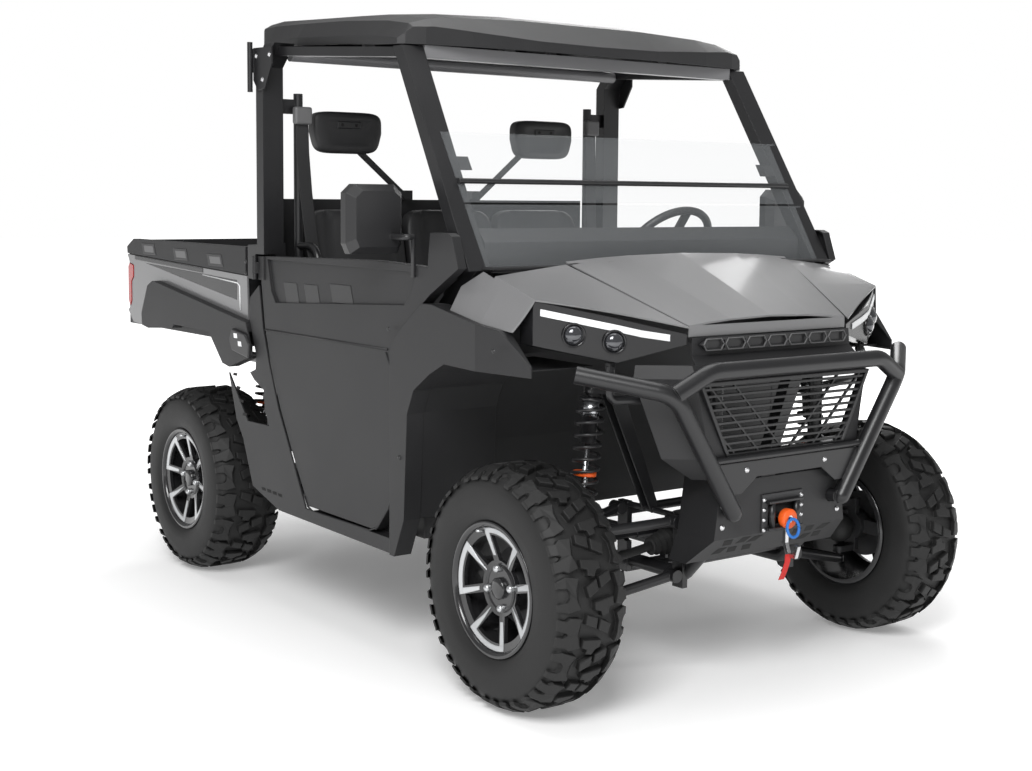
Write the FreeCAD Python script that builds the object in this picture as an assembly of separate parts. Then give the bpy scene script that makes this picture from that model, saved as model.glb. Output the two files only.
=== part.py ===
import FreeCAD, Part
import math
import os
from FreeCAD import Vector

os.makedirs("parts", exist_ok=True)

# The vehicle stands on its tyres with its nose towards -Y, its right side towards -X
# and the floor at Z = 0. All lengths are millimetres and all angles are degrees.

# Stance
wheelbase = 2023.0
front_overhang = 393.0
rear_overhang = 591.0
tyre_radius = 343.0
overall_length = front_overhang + wheelbase + rear_overhang
front_y = -overall_length / 2
axle_front_y = front_y + front_overhang
axle_rear_y = axle_front_y + wheelbase
axle_z = tyre_radius

# General clearances
overrun = 30.0
panel_gap = 6.0
seat_gap = 0.3
running_gap = 0.06
slot_gap = 1.5

# Wheels, measured outward from the middle of the outer drive joint
front_lip_x = 810.0
rear_lip_x = 798.0
lip_from_drive_joint = 210.0
tyre_past_lip = 8.0
front_tyre_width = 234.0
rear_tyre_width = 260.0
bead_radius = 178.0
lip_radius = 190.0
barrel_wall = 6.0
lug_height = 17.0
lug_steps = 20
tyre_profile_shares = [(1.0, 0.45), (0.96, 0.78), (0.76, 1.0)]
centre_lug_shares = [(-0.34, 0.10), (-0.04, 0.10), (0.34, 0.90), (0.04, 0.90)]
wide_lug_shares = [(0.46, 0.34), (0.97, 0.08), (0.97, 0.92), (0.60, 0.92)]
narrow_lug_shares = [(0.56, 0.14), (0.97, 0.24), (0.97, 0.76), (0.46, 0.66)]
shoulder_share = 0.46
shoulder_drop = 48.0
hub_face_inside_lip = 35.0
dish_outer_inside_lip = 12.0
dish_wall = 16.0
hub_radius = 62.0
window_outer_share = 0.90
window_inset = 4.0
window_count = 8
window_half_angle_at_hub = 9.0
window_half_angle_at_rim = 17.0
nut_circle_radius = 55.0
nut_count = 4
nut_radius = 11.0
nut_length = 14.0
cap_radius = 30.0
cap_length = 10.0
stub_radius = 20.0
drive_joint_radius = 43.0
boot_wall = 2.5
boot_gap = 2.5
boot_mouth_angle = 57.0
disc_radius = 108.0
disc_wall = 5.0
disc_from_drive_joint = 112.0
flange_radius = 70.0

# Steering knuckles and hub carriers
housing_from_drive_joint = 55.0
housing_length = 45.0
housing_radius = 46.0
boss_radius = 18.0
boss_length = 20.0
stud_radius = 7.0
upper_boss_above_axle = 92.0
lower_boss_below_axle = 82.0
upright_width = 44.0
upright_wall = 18.0
steering_arm_behind = 105.0
steering_arm_inside = 47.0
steering_arm_above = 42.0
steering_arm_wall = 12.0
caliper_length = 84.0
caliper_height = 46.0
caliper_wall = 16.0
caliper_start_share = 0.66

# Suspension arms and half shafts
arm_tube_radius = 15.0
front_arm_root_x = 250.0
rear_arm_root_x = 205.0
arm_root_spread = 125.0
upper_root_above_axle = 145.0
lower_root_below_axle = 14.0
arm_bush_radius = 19.0
arm_bush_length = 44.0
arm_end_drop = 12.0
arm_cross_share = 0.45
arm_cross_radius = 12.0
shaft_radius = 13.0
shaft_trim = 150.0
boot_end_radius = 22.0
inner_joint_radius = 38.0
inner_joint_length = 52.0
boot_length = 74.0
boot_rib_count = 4
boot_rib_depth = 5.0

# Dampers
damper_behind_axle = 12.0
damper_top_x = 446.0
damper_top_z = 868.0
damper_foot_x = 486.0
damper_foot_rise = 30.0
damper_neck_radius = 12.0
damper_body_radius = 23.0
damper_rod_radius = 9.0
damper_eye_radius = 17.0
damper_eye_length = 30.0
coil_radius = 41.0
coil_wire_radius = 6.0
coil_turns = 7
coil_wire_height = 9.0
coil_core_radius = 29.0
coil_share = 0.66
damper_body_share = 0.40
rear_damper_top_z = 800.0
rear_damper_top_x = 420.0
rear_damper_foot_x = 462.0
# Steering gear
rack_radius = 11.0
rack_half = 194.0
rack_housing_radius = 20.0
rack_housing_half = 110.0
rack_foot_x = 66.0
rack_foot_half = 6.0
tie_rod_radius = 8.0
rod_eye_radius = 15.0
rod_eye_length = 18.0
steering_wheel_x = 358.0
steering_wheel_behind_axle = 608.0
steering_wheel_z = 1240.0
steering_wheel_radius = 172.0
steering_grip_radius = 14.0
steering_hub_radius = 46.0
steering_hub_depth = 34.0
spoke_width = 34.0
spoke_wall = 10.0
column_tilt = 38.0
column_radius = 21.0
column_length = 250.0
column_stub_radius = 10.0

# Lower frame
rail_radius = 21.0
rail_x = 205.0
rail_z = 268.0
rail_front_y = axle_front_y - 243.0
rail_front_line = [(-243.0, 950.0), (-243.0, 500.0), (-198.0, 400.0), (-125.0, 325.0), (150.0, 325.0),
                   (400.0, 268.0)]
front_cross_z = 365.0
rack_cross_z = 300.0
rail_rear_y = axle_rear_y + 330.0
nose_rail_z = 950.0
fascia_pad_low_z = 928.0
fascia_pad_high_z = 954.0
sill_radius = 19.0
sill_bend = 63.0
sill_root_ahead = 126.0
sill_root_behind = 84.0
sill_x = 640.0
sill_z = 380.0
sill_front_y = axle_front_y + 480.0
sill_rear_y = axle_front_y + 1437.0
cross_tube_radius = 16.0
bed_rail_z = 742.0
bed_rail_x = 300.0
bed_rail_front_y = axle_rear_y - 480.0
bed_rail_rear_y = axle_rear_y + 462.0
cowl_post_x = 650.0
cowl_post_width = 50.0
cowl_post_depth = 55.0
cowl_post_line = [(500.0, 380.0), (500.0, 880.0), (470.0, 990.0), (194.0, 1236.0)]
cowl_post_top_z = 1205.7
cowl_tube_z = 1185.0
cowl_tube_behind_axle = 235.0
tower_plate = 6.0
tower_width = 44.0
tower_foot_radius = 9.0
tower_gap = 6.0
stand_off_x = 170.0
stand_off_width = 28.0
stand_off_low_z = 600.0
stand_off_high_z = 685.0
lamp_bracket_x = 511.0
lamp_bracket_size = 20.0
lamp_tube_radius = 12.0
lamp_tube_z = 860.0
rod_gap = 6.0
winch_plate_low_z = 440.0
winch_plate_high_z = 600.0
receiver_outer = 63.5
receiver_inner = 51.2
receiver_length = 190.0
receiver_z = 395.0
receiver_pin_radius = 8.1
receiver_pin_inset = 65.0

# Power unit
engine_half_width = 180.0
engine_front_y = axle_rear_y - 436.0
engine_rear_y = axle_rear_y - 157.0
engine_height = 350.0
gearcase_half_width = 105.0
gearcase_radius = 80.0
gearcase_rise = 60.0
prop_shaft_radius = 18.0
foot_height = 24.0
foot_length = 40.0
muffler_radius = 82.0
muffler_half_length = 150.0
muffler_z = 560.0
muffler_pin_radius = 12.0
tail_pipe_radius = 22.0
tail_pipe_reach = 66.0

# Cage
pillar_width = 76.0
pillar_depth = 50.0
pillar_foot_x = 706.0
pillar_foot_behind_axle = 229.0
pillar_foot_z = 1206.0
pillar_head_x = 677.0
pillar_head_behind_axle = 632.0
pillar_head_z = 1868.0
rear_pillar_x = 745.0
rear_pillar_behind_axle = 1400.0
rear_pillar_low_z = 1211.0
rear_pillar_bend_z = 1842.0
rear_head_z = 1918.0
rear_head_behind_axle = 1326.0
rear_head_depth = 72.0
rear_leg_x = 700.0
rear_leg_width = 36.0
roof_rail_width = 50.0
roof_rail_height = 30.0
roof_rail_front_z = 1850.0
roof_rail_rear_z = 1893.0
roof_rail_rear_x = 735.0
crossbar_radius = 21.0
header_height = 39.0
header_depth = 34.0
header_z = 1852.5
upper_hinge_wall = 6.0
upper_hinge_corners = [(1300.0, 1905.0), (1432.0, 1908.0), (1432.0, 1800.0), (1400.0, 1765.0),
                       (1350.0, 1770.0), (1300.0, 1850.0)]
upper_barrel_x = 801.0
upper_barrel_radius = 9.0
upper_barrel_behind_axle = 1432.0
upper_barrel_low_z = 1760.0
upper_barrel_high_z = 1927.0

# Roof, each station as distance behind the front axle, lip, channel top, shoulder, middle and centre
roof_wall = 5.0
roof_stations = [
    (520.0, 719.0, 1872.0, 1879.0, 640.0, 1888.0, 1892.0, 1893.0),
    (634.0, 719.0, 1872.0, 1890.0, 600.0, 1956.0, 1966.0, 1975.0),
    (761.0, 712.0, 1879.0, 1905.0, 600.0, 1975.0, 1988.0, 1998.0),
    (1027.0, 700.0, 1899.0, 1925.0, 602.0, 1996.0, 2009.0, 2018.0),
    (1303.0, 690.0, 1914.0, 1940.0, 606.0, 2008.0, 2023.0, 2031.0),
    (1541.0, 668.0, 1928.0, 1944.0, 612.0, 2019.0, 2034.0, 2039.0),
    (1722.0, 650.0, 1948.0, 1958.0, 592.0, 2016.0, 2036.0, 2039.0)]
roof_middle_x = 500.0
roof_bulge_out_share = 0.62
roof_bulge_up_share = 0.72
roof_plan = [(0.0, 531.0), (250.0, 535.0), (489.0, 560.0), (640.0, 590.0), (700.0, 612.0), (740.0, 650.0),
             (740.0, 1560.0), (662.0, 1598.0), (640.0, 1640.0), (500.0, 1709.0), (0.0, 1720.0)]
roof_side = [(500.0, 1800.0), (1560.0, 1800.0), (1598.0, 1926.0), (1722.0, 2025.0), (1722.0, 2060.0),
             (500.0, 2060.0)]
roof_boss_width = 40.0
roof_boss_front_x = 320.0
roof_boss_rear_x = 400.0

# Windscreen
screen_wall = 5.0
screen_half = 683.0
screen_low_z = 1218.0
screen_mid_z = 1400.0
screen_fold_z = 1462.0
screen_top_z = 1606.0
screen_lip = 26.0
fold_bar_radius = 8.0
clamp_width = 40.0
clamp_height = 40.0
clamp_depth = 28.0
clamp_z = 1514.0

# Cab floor and shell
floor_wall = 5.0
floor_half = 645.0
floor_rear_behind_axle = 1190.0
toe_line = [(582.0, 0.0), (496.0, 260.0), (419.0, 550.0)]
seat_box_front_y = axle_front_y + 985.0
seat_box_rear_y = axle_front_y + 1490.0
seat_box_half = 600.0
seat_box_top_z = 760.0
back_panel_low_z = 500.0
back_panel_top_z = 1400.0
back_panel_wall = 12.0
back_panel_y = axle_front_y + 1510.0
back_panel_flange = 6.0
back_flange_top_z = 1190.0

# Seats
seat_front_y = axle_front_y + 945.0
seat_depth = 440.0
seat_half = 600.0
seat_thickness = 115.0
seat_back_thickness = 85.0
seat_back_height = 490.0
seat_back_recline = 12.0
headrest_x = 434.0
headrest_z = 1634.0
headrest_width = 276.0
headrest_height = 146.0
headrest_depth = 62.0
headrest_y = axle_front_y + 1428.0
seat_edge_share = 0.8
seat_back_inset = 0.3
headrest_shares = [(-0.78, -1.0), (0.78, -1.0), (1.0, -0.3), (0.86, 0.8), (0.5, 1.0), (-0.5, 1.0),
                   (-0.86, 0.8), (-1.0, -0.3)]
headrest_arm_foot_x = 150.0
headrest_arm_width = 34.0
headrest_arm_wall = 8.0
belt_post_x = 638.0
belt_post_y = axle_front_y + 1397.0
belt_post_top_z = 1760.0
belt_post_radius = 16.0
belt_plate_z = 1715.0
belt_plate_height = 50.0
belt_plate_wall = 6.0
hip_bar_front_y = axle_front_y + 1260.0
hip_bar_top_z = 1240.0
hip_bar_radius = 13.0
hip_bar_bend = 65.0

# Dashboard
dash_half = 649.7
dash_low_z = 955.0
dash_wall = 5.0
dash_line = [(262.0, 955.0), (262.0, 1285.0), (302.0, 1325.0), (480.0, 1305.0), (500.0, 1225.0),
             (434.0, 955.0)]

# Doors, outlines as (behind the front axle, height)
door_outer_x = 780.0
door_inner_x = 742.0
door_wall = 5.0
door_outline = [(1410.0, 1205.0), (1401.0, 1117.0), (1376.0, 959.0), (1331.0, 836.0), (1270.0, 698.0),
                (1180.0, 548.0), (1077.0, 394.0), (651.0, 390.0), (563.0, 482.0), (553.0, 744.0),
                (554.0, 952.0), (533.0, 999.0), (478.0, 1042.0), (351.0, 1133.0), (207.0, 1214.0),
                (240.0, 1304.0), (263.0, 1313.0), (351.0, 1312.0), (363.0, 1212.0), (664.0, 1220.0)]
door_band = [(1356.0, 1196.0), (1330.0, 1090.0), (1300.0, 1052.0), (490.0, 1095.0), (450.0, 1140.0),
             (420.0, 1196.0)]
door_band_depth = 9.0
ear_inner_x = 750.0
door_hinge_x = 792.0
door_hinge_behind_axle = 1426.0
door_pin_radius = 5.0
door_knuckle_radius = 9.0
door_hinge_low_z = 1125.0
door_hinge_height = 80.0
door_leaf_wall = 5.0
door_leaf_length = 52.0
hinge_block_front = 1438.0
hinge_block_rear = 1495.0

# Mirrors
mirror_x = 858.0
mirror_width = 190.0
mirror_height = 204.0
mirror_depth = 56.0
mirror_behind_axle = 560.0
mirror_bar_behind_axle = 432.0
mirror_z = 1348.0
mirror_shares = [(-0.85, -1.0), (0.85, -1.0), (1.0, -0.7), (1.0, 0.75), (0.7, 1.0), (-0.7, 1.0),
                 (-1.0, 0.75), (-1.0, -0.7)]
mirror_taper_share = 0.8
mirror_arm_radius = 9.0
mirror_bar_low_z = 1180.0
mirror_bar_high_z = 1306.0
mirror_bar_width = 14.0
mirror_bar_wall = 8.0

# Side panels, as (behind the front axle, height)
side_x = 783.0
side_wall = 6.0
rocker_line = [(560.0, 334.0), (1286.0, 346.0), (1190.0, 384.0), (560.0, 380.0)]
shelf_height = 6.0
panel_outline = [(1414.0, 1104.0), (1481.0, 1060.0), (1486.0, 985.0), (1438.0, 862.0), (1444.0, 812.0),
                 (1486.0, 798.0), (1456.0, 776.0), (1384.0, 746.0), (1377.0, 679.0), (1346.0, 627.0),
                 (1506.0, 625.0), (1650.0, 782.0), (1593.0, 623.0), (1543.0, 560.0), (1503.0, 473.0),
                 (1471.0, 401.0), (1286.0, 348.0), (1092.0, 384.0), (1190.0, 548.0), (1281.0, 698.0),
                 (1342.0, 836.0), (1387.0, 959.0), (1410.0, 1090.0)]
panel_bracket_z = 900.0
panel_bracket_height = 36.0
panel_bracket_length = 36.0

# Front fenders and flares, as (behind the front axle, height)
fender_wall = 4.0
fender_stations = [(250.0, 452.0, 1278.0, 701.0, 1230.0, 785.0, 1083.0),
                   (100.0, 422.0, 1214.6, 700.0, 1183.4, 785.0, 1058.4),
                   (-36.0, 395.0, 1157.0, 699.0, 1141.0, 744.0, 1036.0),
                   (-270.0, 318.0, 1058.0, 693.0, 1061.0, 703.0, 1001.0)]
fender_plan = [(456.0, 130.0), (324.0, -258.0), (701.0, -41.0), (755.0, 0.0), (800.0, 0.0),
               (800.0, 400.0), (760.0, 400.0), (704.0, 215.0), (704.0, 138.0)]
fender_side = [(-45.0, 1043.3), (21.0, 1053.3), (318.5, 1107.3), (325.0, 1107.3), (181.0, 1212.0),
               (181.0, 1300.0), (-400.0, 1300.0), (-400.0, 1000.0), (-45.0, 1000.0)]
flare_x = 795.0
flare_inner_x = 735.0
flare_wall = 5.0
flare_outline = [(547.0, 334.0), (547.0, 951.0), (522.0, 996.0), (466.0, 1041.0), (374.0, 1107.0),
                 (318.5, 1107.0), (21.0, 1053.0), (-35.0, 1005.0), (-83.0, 962.0), (-83.0, 930.0),
                 (255.0, 941.0), (330.0, 905.0), (415.0, 849.0), (450.0, 775.0), (467.0, 453.0),
                 (520.0, 334.0)]
flare_plan = [(700.0, -120.0), (739.0, -120.0), (739.0, -84.0), (795.0, 100.0), (795.0, 600.0),
              (700.0, 600.0)]
flare_bracket_z = 960.0
flare_bracket_height = 40.0
flare_bracket_behind_axle = 455.0
flare_bracket_length = 40.0
liner_inner_x = 470.0
liner_wall = 4.0
liner_line = [(468.5, 453.0), (451.0, 775.0), (416.0, 850.0), (331.0, 906.0), (256.0, 942.0), (-20.0, 939.5)]

# Hood and cowl
hood_rear_y = axle_front_y + 135.0
hood_front_y = axle_front_y - 250.0
hood_rear_half = 453.0
hood_front_half = 318.0
hood_rear_z = 1250.0
hood_front_z = 1085.0
hood_wall = 5.0
hood_lip = 32.0
hood_crown = 18.0
hood_crown_shares = (-1.0, -0.75, -0.5, 0.0, 0.5, 0.75, 1.0)
hood_hinge_behind_axle = 120.0
hood_hinge_z = 1222.0
hood_pin_radius = 5.0
hood_tab_x = 300.0
hood_tab_half = 10.0
hinge_cheek = 10.0
hinge_cheek_gap = 6.0
cowl_top_z = 1217.7
cowl_wall = 6.0
cowl_front_behind_axle = 144.0
cowl_side_rear_behind_axle = 203.0
cowl_rear_behind_axle = 230.0
cowl_half = 700.0
cowl_inner_half = 661.0

# Nose, each row as height, distance behind the axle, grille half, wing half and wing distance
fascia_wall = 5.0
fascia_rows = [(962.0, -296.0, 346.0, 470.0, -200.0), (925.0, -313.5, 346.0, 480.0, -205.0),
               (700.0, -323.5, 300.0, 400.0, -235.0), (634.0, -321.5, 240.0, 300.0, -250.0)]
brow_rows = [(1034.0, -266.0, 318.0), (985.0, -268.0, 322.0), (955.0, -297.0, 330.0)]
grille_top_half = 346.0
grille_low_half = 237.0
grille_top_z = 915.0
grille_low_z = 700.0
grille_depth = 12.0
grille_bar = 7.0
grille_rows = 11
grille_diagonals = 5
upper_grille_half = 300.0
upper_grille_top_z = 1033.0
upper_grille_low_z = 996.0
upper_grille_front = -280.3
upper_grille_cells = 7
lamp_outer_x = 698.0
lamp_inner_x = 325.0
lamp_outer_behind_axle = -36.0
lamp_inner_behind_axle = -250.0
lamp_outer_top_z = 1135.5
lamp_inner_top_z = 1044.0
lamp_height = 122.0
lamp_seat = 1.5
lamp_tip_height = 30.0
lamp_bow = 30.0
lamp_depth = 60.0
skid_wall = 5.0
skid_back = -160.0
skid_rows = [(628.0, -312.0, 242.0), (577.0, -312.0, 250.0), (466.0, -312.0, 266.0), (390.0, -232.0, 300.0)]

# Bumper guard
guard_radius = 25.0
guard_y = front_y + guard_radius
guard_top_half = 345.0
guard_top_z = 951.0
guard_side_x = 452.0
guard_side_z = 893.0
guard_side_back = 22.0
guard_low_half = 222.0
guard_low_z = 545.0
guard_low_back = 27.0
guard_wing_x = 660.0
guard_wing_z = 945.0
guard_wing_back = 192.0
guard_bend = 90.0
guard_strut_radius = 18.0
guard_bar_radius = 9.0
guard_bar_z = 697.0
guard_plate_wall = 5.0
guard_plate_top_z = 686.0
guard_plate_mid_z = 640.0
guard_plate_low_z = 596.0
guard_plate_foot_half = 30.0
guard_plate_notch = 90.0

# Winch and hook
winch_window_half = 83.0
winch_low_z = 466.0
winch_high_z = 577.0
winch_drum_radius = 25.0
winch_half = 78.0
fairlead_wall = 12.0
fairlead_slot_half = 60.0
fairlead_slot_low_z = 485.0
fairlead_slot_high_z = 545.0
rope_radius = 4.0
stopper_z = 503.0
stopper_radius = 26.0
stopper_length = 24.0
stopper_gap = 8.0
hook_wall = 12.0
hook_length = 94.0
hook_line_shares = [(0.0, 0.0), (0.0, -0.62), (-0.25, -0.92), (-0.62, -0.92), (-0.80, -0.62)]

# Cargo bed, as (behind the rear axle, height)
bed_outer_x = 765.0
tub_outer_x = 757.0
tub_wall = 18.0
bed_front = -473.0
bed_rear = 575.0
bed_floor_z = 912.0
bed_floor_wall = 20.0
bed_floor_rear = 547.0
bed_top_z = 1232.0
bed_rail_line = [(-473.0, 1134.0), (572.0, 1173.0), (575.0, 1200.0), (509.0, 1232.0), (-473.0, 1232.0)]
bed_panel_outline = [(-484.0, 1130.0), (571.0, 1169.0), (550.0, 1136.0), (508.0, 1128.0), (508.0, 1080.0),
                     (530.0, 1060.0), (530.0, 983.0), (543.0, 962.0), (571.0, 945.0), (520.0, 899.0),
                     (436.0, 894.0), (441.0, 939.0), (380.0, 1051.0), (330.0, 1073.0), (-469.0, 976.0),
                     (-490.0, 976.0)]
bed_flare_x = 795.0
bed_flare_wall = 5.0
bed_flare_outline = [(252.0, 1077.0), (-530.0, 972.0), (-577.0, 858.0), (-398.0, 805.0), (-345.0, 814.0),
                     (-235.0, 918.0), (66.0, 922.0), (84.0, 907.0), (306.0, 891.0), (364.0, 899.0),
                     (367.0, 943.0), (302.0, 1055.0)]
bed_hinge_behind_axle = 440.0
bed_hinge_z = 800.0
bed_pin_radius = 10.0
bed_lug_half = 10.0
bed_cheek = 12.0
bed_cheek_gap = 2.0
bed_lug_depth = 36.0
gate_wall = 24.0
gate_half = 733.0
gate_axis_behind_axle = 565.0
gate_axis_z = 905.0
gate_pin_radius = 8.0
gate_pin_length = 14.0
gate_rib_half = 420.0
gate_rib_low_z = 970.0
gate_rib_high_z = 1150.0
tail_lamp_outline = [(512.0, 1126.0), (548.0, 1133.0), (560.0, 1120.0), (560.0, 985.0), (547.0, 965.0),
                     (533.0, 985.0), (533.0, 1062.0), (512.0, 1082.0)]
tail_lamp_wall = 10.0


# Shape helpers

def point(x, y, z):
    return Vector(x, y, z)


def fuse(shapes):
    return shapes[0].multiFuse(shapes[1:]).removeSplitter()


def mirrored(shape):
    return shape.mirror(point(0, 0, 0), point(1, 0, 0))


def both_sides(shapes):
    return [copy for shape in shapes for copy in (shape, mirrored(shape))]


def moved(shape, x, y, z):
    copy = shape.copy()
    copy.translate(point(x, y, z))
    return copy


def turned(shape, centre, axis, angle):
    copy = shape.copy()
    copy.rotate(centre, axis, angle)
    return copy


def box(x_range, y_range, z_range):
    corner = point(x_range[0], y_range[0], z_range[0])
    return Part.makeBox(x_range[1] - x_range[0], y_range[1] - y_range[0],
                        z_range[1] - z_range[0], corner)


def face(points):
    return Part.Face(Part.makePolygon(points + [points[0]]))


def slab_x(outline, x_low, x_high):
    return face([point(x_low, y, z) for y, z in outline]).extrude(point(x_high - x_low, 0, 0))


def slab_y(outline, y_low, y_high):
    return face([point(x, y_low, z) for x, z in outline]).extrude(point(0, y_high - y_low, 0))


def slab_z(outline, z_low, z_high):
    return face([point(x, y, z_low) for x, y in outline]).extrude(point(0, 0, z_high - z_low))


def behind(axle_y, outline):
    """An outline given behind an axle, as places along the vehicle."""
    return [(axle_y + distance, z) for distance, z in outline]


def shifted_line(first, second, wall):
    """Two points moved sideways by a wall, to the left of their direction."""
    run, rise = second[0] - first[0], second[1] - first[1]
    length = math.hypot(run, rise)
    side = (-rise * wall / length, run * wall / length)
    return [(first[0] + side[0], first[1] + side[1]), (second[0] + side[0], second[1] + side[1])]


def crossing(first, second):
    """Where two endless lines cross, each given by two points."""
    (ax, ay), (bx, by) = first
    (cx, cy), (dx, dy) = second
    turn = (bx - ax) * (dy - cy) - (by - ay) * (dx - cx)
    if abs(turn) < 1e-6:
        return bx, by
    share = ((cx - ax) * (dy - cy) - (cy - ay) * (dx - cx)) / turn
    return ax + share * (bx - ax), ay + share * (by - ay)


def inset(outline, wall):
    """A closed outline drawn smaller by a wall on all its sides."""
    following = outline[1:] + outline[:1]
    area = sum(a[0] * b[1] - b[0] * a[1] for a, b in zip(outline, following))
    side = wall if area > 0 else -wall
    lines = [shifted_line(a, b, side) for a, b in zip(outline, following)]
    return [crossing(before, after) for before, after in zip(lines[-1:] + lines[:-1], lines)]


def strip(path, wall):
    """The outline of an even wall that follows a path, on its left side."""
    lines = [shifted_line(a, b, wall) for a, b in zip(path, path[1:])]
    side = [lines[0][0]] + [crossing(a, b) for a, b in zip(lines, lines[1:])] + [lines[-1][1]]
    return path + side[::-1]


def tray(outline, x_inner, x_outer, wall):
    """A moulding with an outer wall and a rim round its edge, open towards the vehicle."""
    hollow = slab_x(inset(outline, wall), x_inner - overrun, x_outer - wall)
    return slab_x(outline, x_inner, x_outer).cut(hollow)


def rod(start, end, radius):
    return Part.makeCylinder(radius, (end - start).Length, start, end - start)


def skin(rows):
    """A closed solid through a list of polygons with equal numbers of corners."""
    wires = [Part.makePolygon(row + [row[0]]) for row in rows]
    return Part.makeLoft(wires, True, True)


def bent_tube(corners, radius, bend):
    """A round tube along straight runs that tangent arcs join."""
    edges = []
    last = corners[0]
    for before, corner, after in zip(corners, corners[1:], corners[2:]):
        back = (before - corner).normalize()
        ahead = (after - corner).normalize()
        half = back.getAngle(ahead) / 2
        room = 0.45 * min((before - corner).Length, (after - corner).Length)
        reach = min(bend / math.tan(half), room)
        arc_radius = reach * math.tan(half)
        start, end = corner + back * reach, corner + ahead * reach
        middle = corner + (back + ahead).normalize() * (arc_radius / math.sin(half) - arc_radius)
        edges += [Part.LineSegment(last, start).toShape(), Part.Arc(start, middle, end).toShape()]
        last = end
    edges.append(Part.LineSegment(last, corners[-1]).toShape())
    circle = Part.Wire([Part.makeCircle(radius, corners[0], corners[1] - corners[0])])
    return Part.Wire(edges).makePipeShell([circle], True, False)


def spun(profile):
    """A closed solid from an (x, radius) outline turned about the X axis."""
    return face([point(x, 0, radius) for x, radius in profile]).revolve(
        point(0, 0, 0), point(1, 0, 0), 360)


def save(node, shapes):
    solids = [solid for shape in shapes for solid in shape.Solids]
    whole = solids[0] if len(solids) == 1 else Part.makeCompound(solids)
    whole.exportStep("parts/" + node + ".step")


# Wheels

def wheel_polygon(radius, x):
    turn = 2 * math.pi / lug_steps
    return [point(x, radius * math.sin((i + 0.5) * turn), -radius * math.cos((i + 0.5) * turn))
            for i in range(lug_steps)]


def tread_lug(outline_shares, half_width, step, low):
    """One tread block, its outline in shares of the half width and of one step round the tyre."""
    step_length = 2 * math.pi * tyre_radius / lug_steps
    lower, upper = [], []
    for across, turn in outline_shares:
        x, y = across * half_width, (turn - 0.5) * step_length
        lower.append(point(x, y, low))
        upper.append(point(x, y, tyre_radius - shoulder_drop * max(0, abs(across) - shoulder_share)))
    faces = [face([a, b, d, c]) for a, b, c, d in
             zip(lower, lower[1:] + lower[:1], upper, upper[1:] + upper[:1])]
    block = Part.Solid(Part.Shell(faces + [face(lower), face(upper)]))
    return turned(block, point(0, 0, 0), point(1, 0, 0), 360 * step / lug_steps)


def tyre(width):
    """A tyre about the X axis with its middle at the origin, flat between its lug steps."""
    half = width / 2
    carcass_radius = tyre_radius - lug_height
    bead_half = half - tyre_past_lip - barrel_wall - seat_gap
    facet_spread = math.cos(math.pi / lug_steps)
    stations = [(-bead_half, (lip_radius + seat_gap) / facet_spread)]
    stations += [(-half * w, bead_radius + s * (carcass_radius - bead_radius))
                 for w, s in tyre_profile_shares]
    stations += [(-x, radius) for x, radius in reversed(stations)]
    carcass = skin([wheel_polygon(radius, x) for x, radius in stations])
    lugs = []
    sunk = carcass_radius - lug_height / 2
    deep = carcass_radius - lug_height * 3
    for step in range(lug_steps):
        lean = 1 if step % 2 else -1
        lugs.append(tread_lug([(lean * a, b) for a, b in centre_lug_shares], half, step, sunk))
        lugs.append(tread_lug([(lean * a, b) for a, b in wide_lug_shares], half, step, deep))
        lugs.append(tread_lug([(-lean * a, b) for a, b in narrow_lug_shares], half, step, deep))
    whole = carcass.multiFuse(lugs)
    reach = half + overrun
    seat = (bead_radius + seat_gap) / facet_spread
    return whole.cut(skin([wheel_polygon(seat, -reach), wheel_polygon(seat, reach)]))


def rim_window(index, lip_x, back):
    """The opening between two spokes."""
    middle = 360.0 * index / window_count
    low, high = hub_radius + window_inset, (bead_radius - barrel_wall) * window_outer_share
    corners = []
    for radius, spread in ((low, -window_half_angle_at_hub), (high, -window_half_angle_at_rim),
                           (high, window_half_angle_at_rim), (low, window_half_angle_at_hub)):
        angle = math.radians(middle + spread)
        corners.append((radius * math.cos(angle), radius * math.sin(angle)))
    return slab_x(corners, back, lip_x + overrun)


def rim_back(lip_x, width):
    return lip_x + 2 * tyre_past_lip - width


def rim(lip_x, width):
    """The barrel of a rim about the X axis, outward along +X."""
    back, inner = rim_back(lip_x, width), bead_radius - barrel_wall
    return spun([(back, inner), (back, lip_radius), (back + barrel_wall, lip_radius),
                 (back + barrel_wall, bead_radius), (lip_x - barrel_wall, bead_radius),
                 (lip_x - barrel_wall, lip_radius), (lip_x, lip_radius), (lip_x, inner)])


def spokes(lip_x, width):
    """The spoked dish inside a rim, with its nuts and cap."""
    face_x, rim_x = lip_x - hub_face_inside_lip, lip_x - dish_outer_inside_lip
    edge = bead_radius - barrel_wall - seat_gap
    dish = spun([(face_x - dish_wall, 0), (face_x + cap_length, 0), (face_x + cap_length, cap_radius),
                 (face_x, cap_radius), (face_x, hub_radius), (rim_x, edge),
                 (rim_x - dish_wall, edge), (face_x - dish_wall, hub_radius)])
    back = rim_back(lip_x, width)
    dish = dish.cut(Part.makeCompound([rim_window(i, lip_x, back) for i in range(window_count)]))
    nuts = []
    for index in range(nut_count):
        angle = 2 * math.pi * (index + 0.5) / nut_count
        y, z = nut_circle_radius * math.cos(angle), nut_circle_radius * math.sin(angle)
        nuts.append(rod(point(face_x - dish_wall / 2, y, z), point(face_x + nut_length, y, z), nut_radius))
    return fuse([dish] + nuts)


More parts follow.
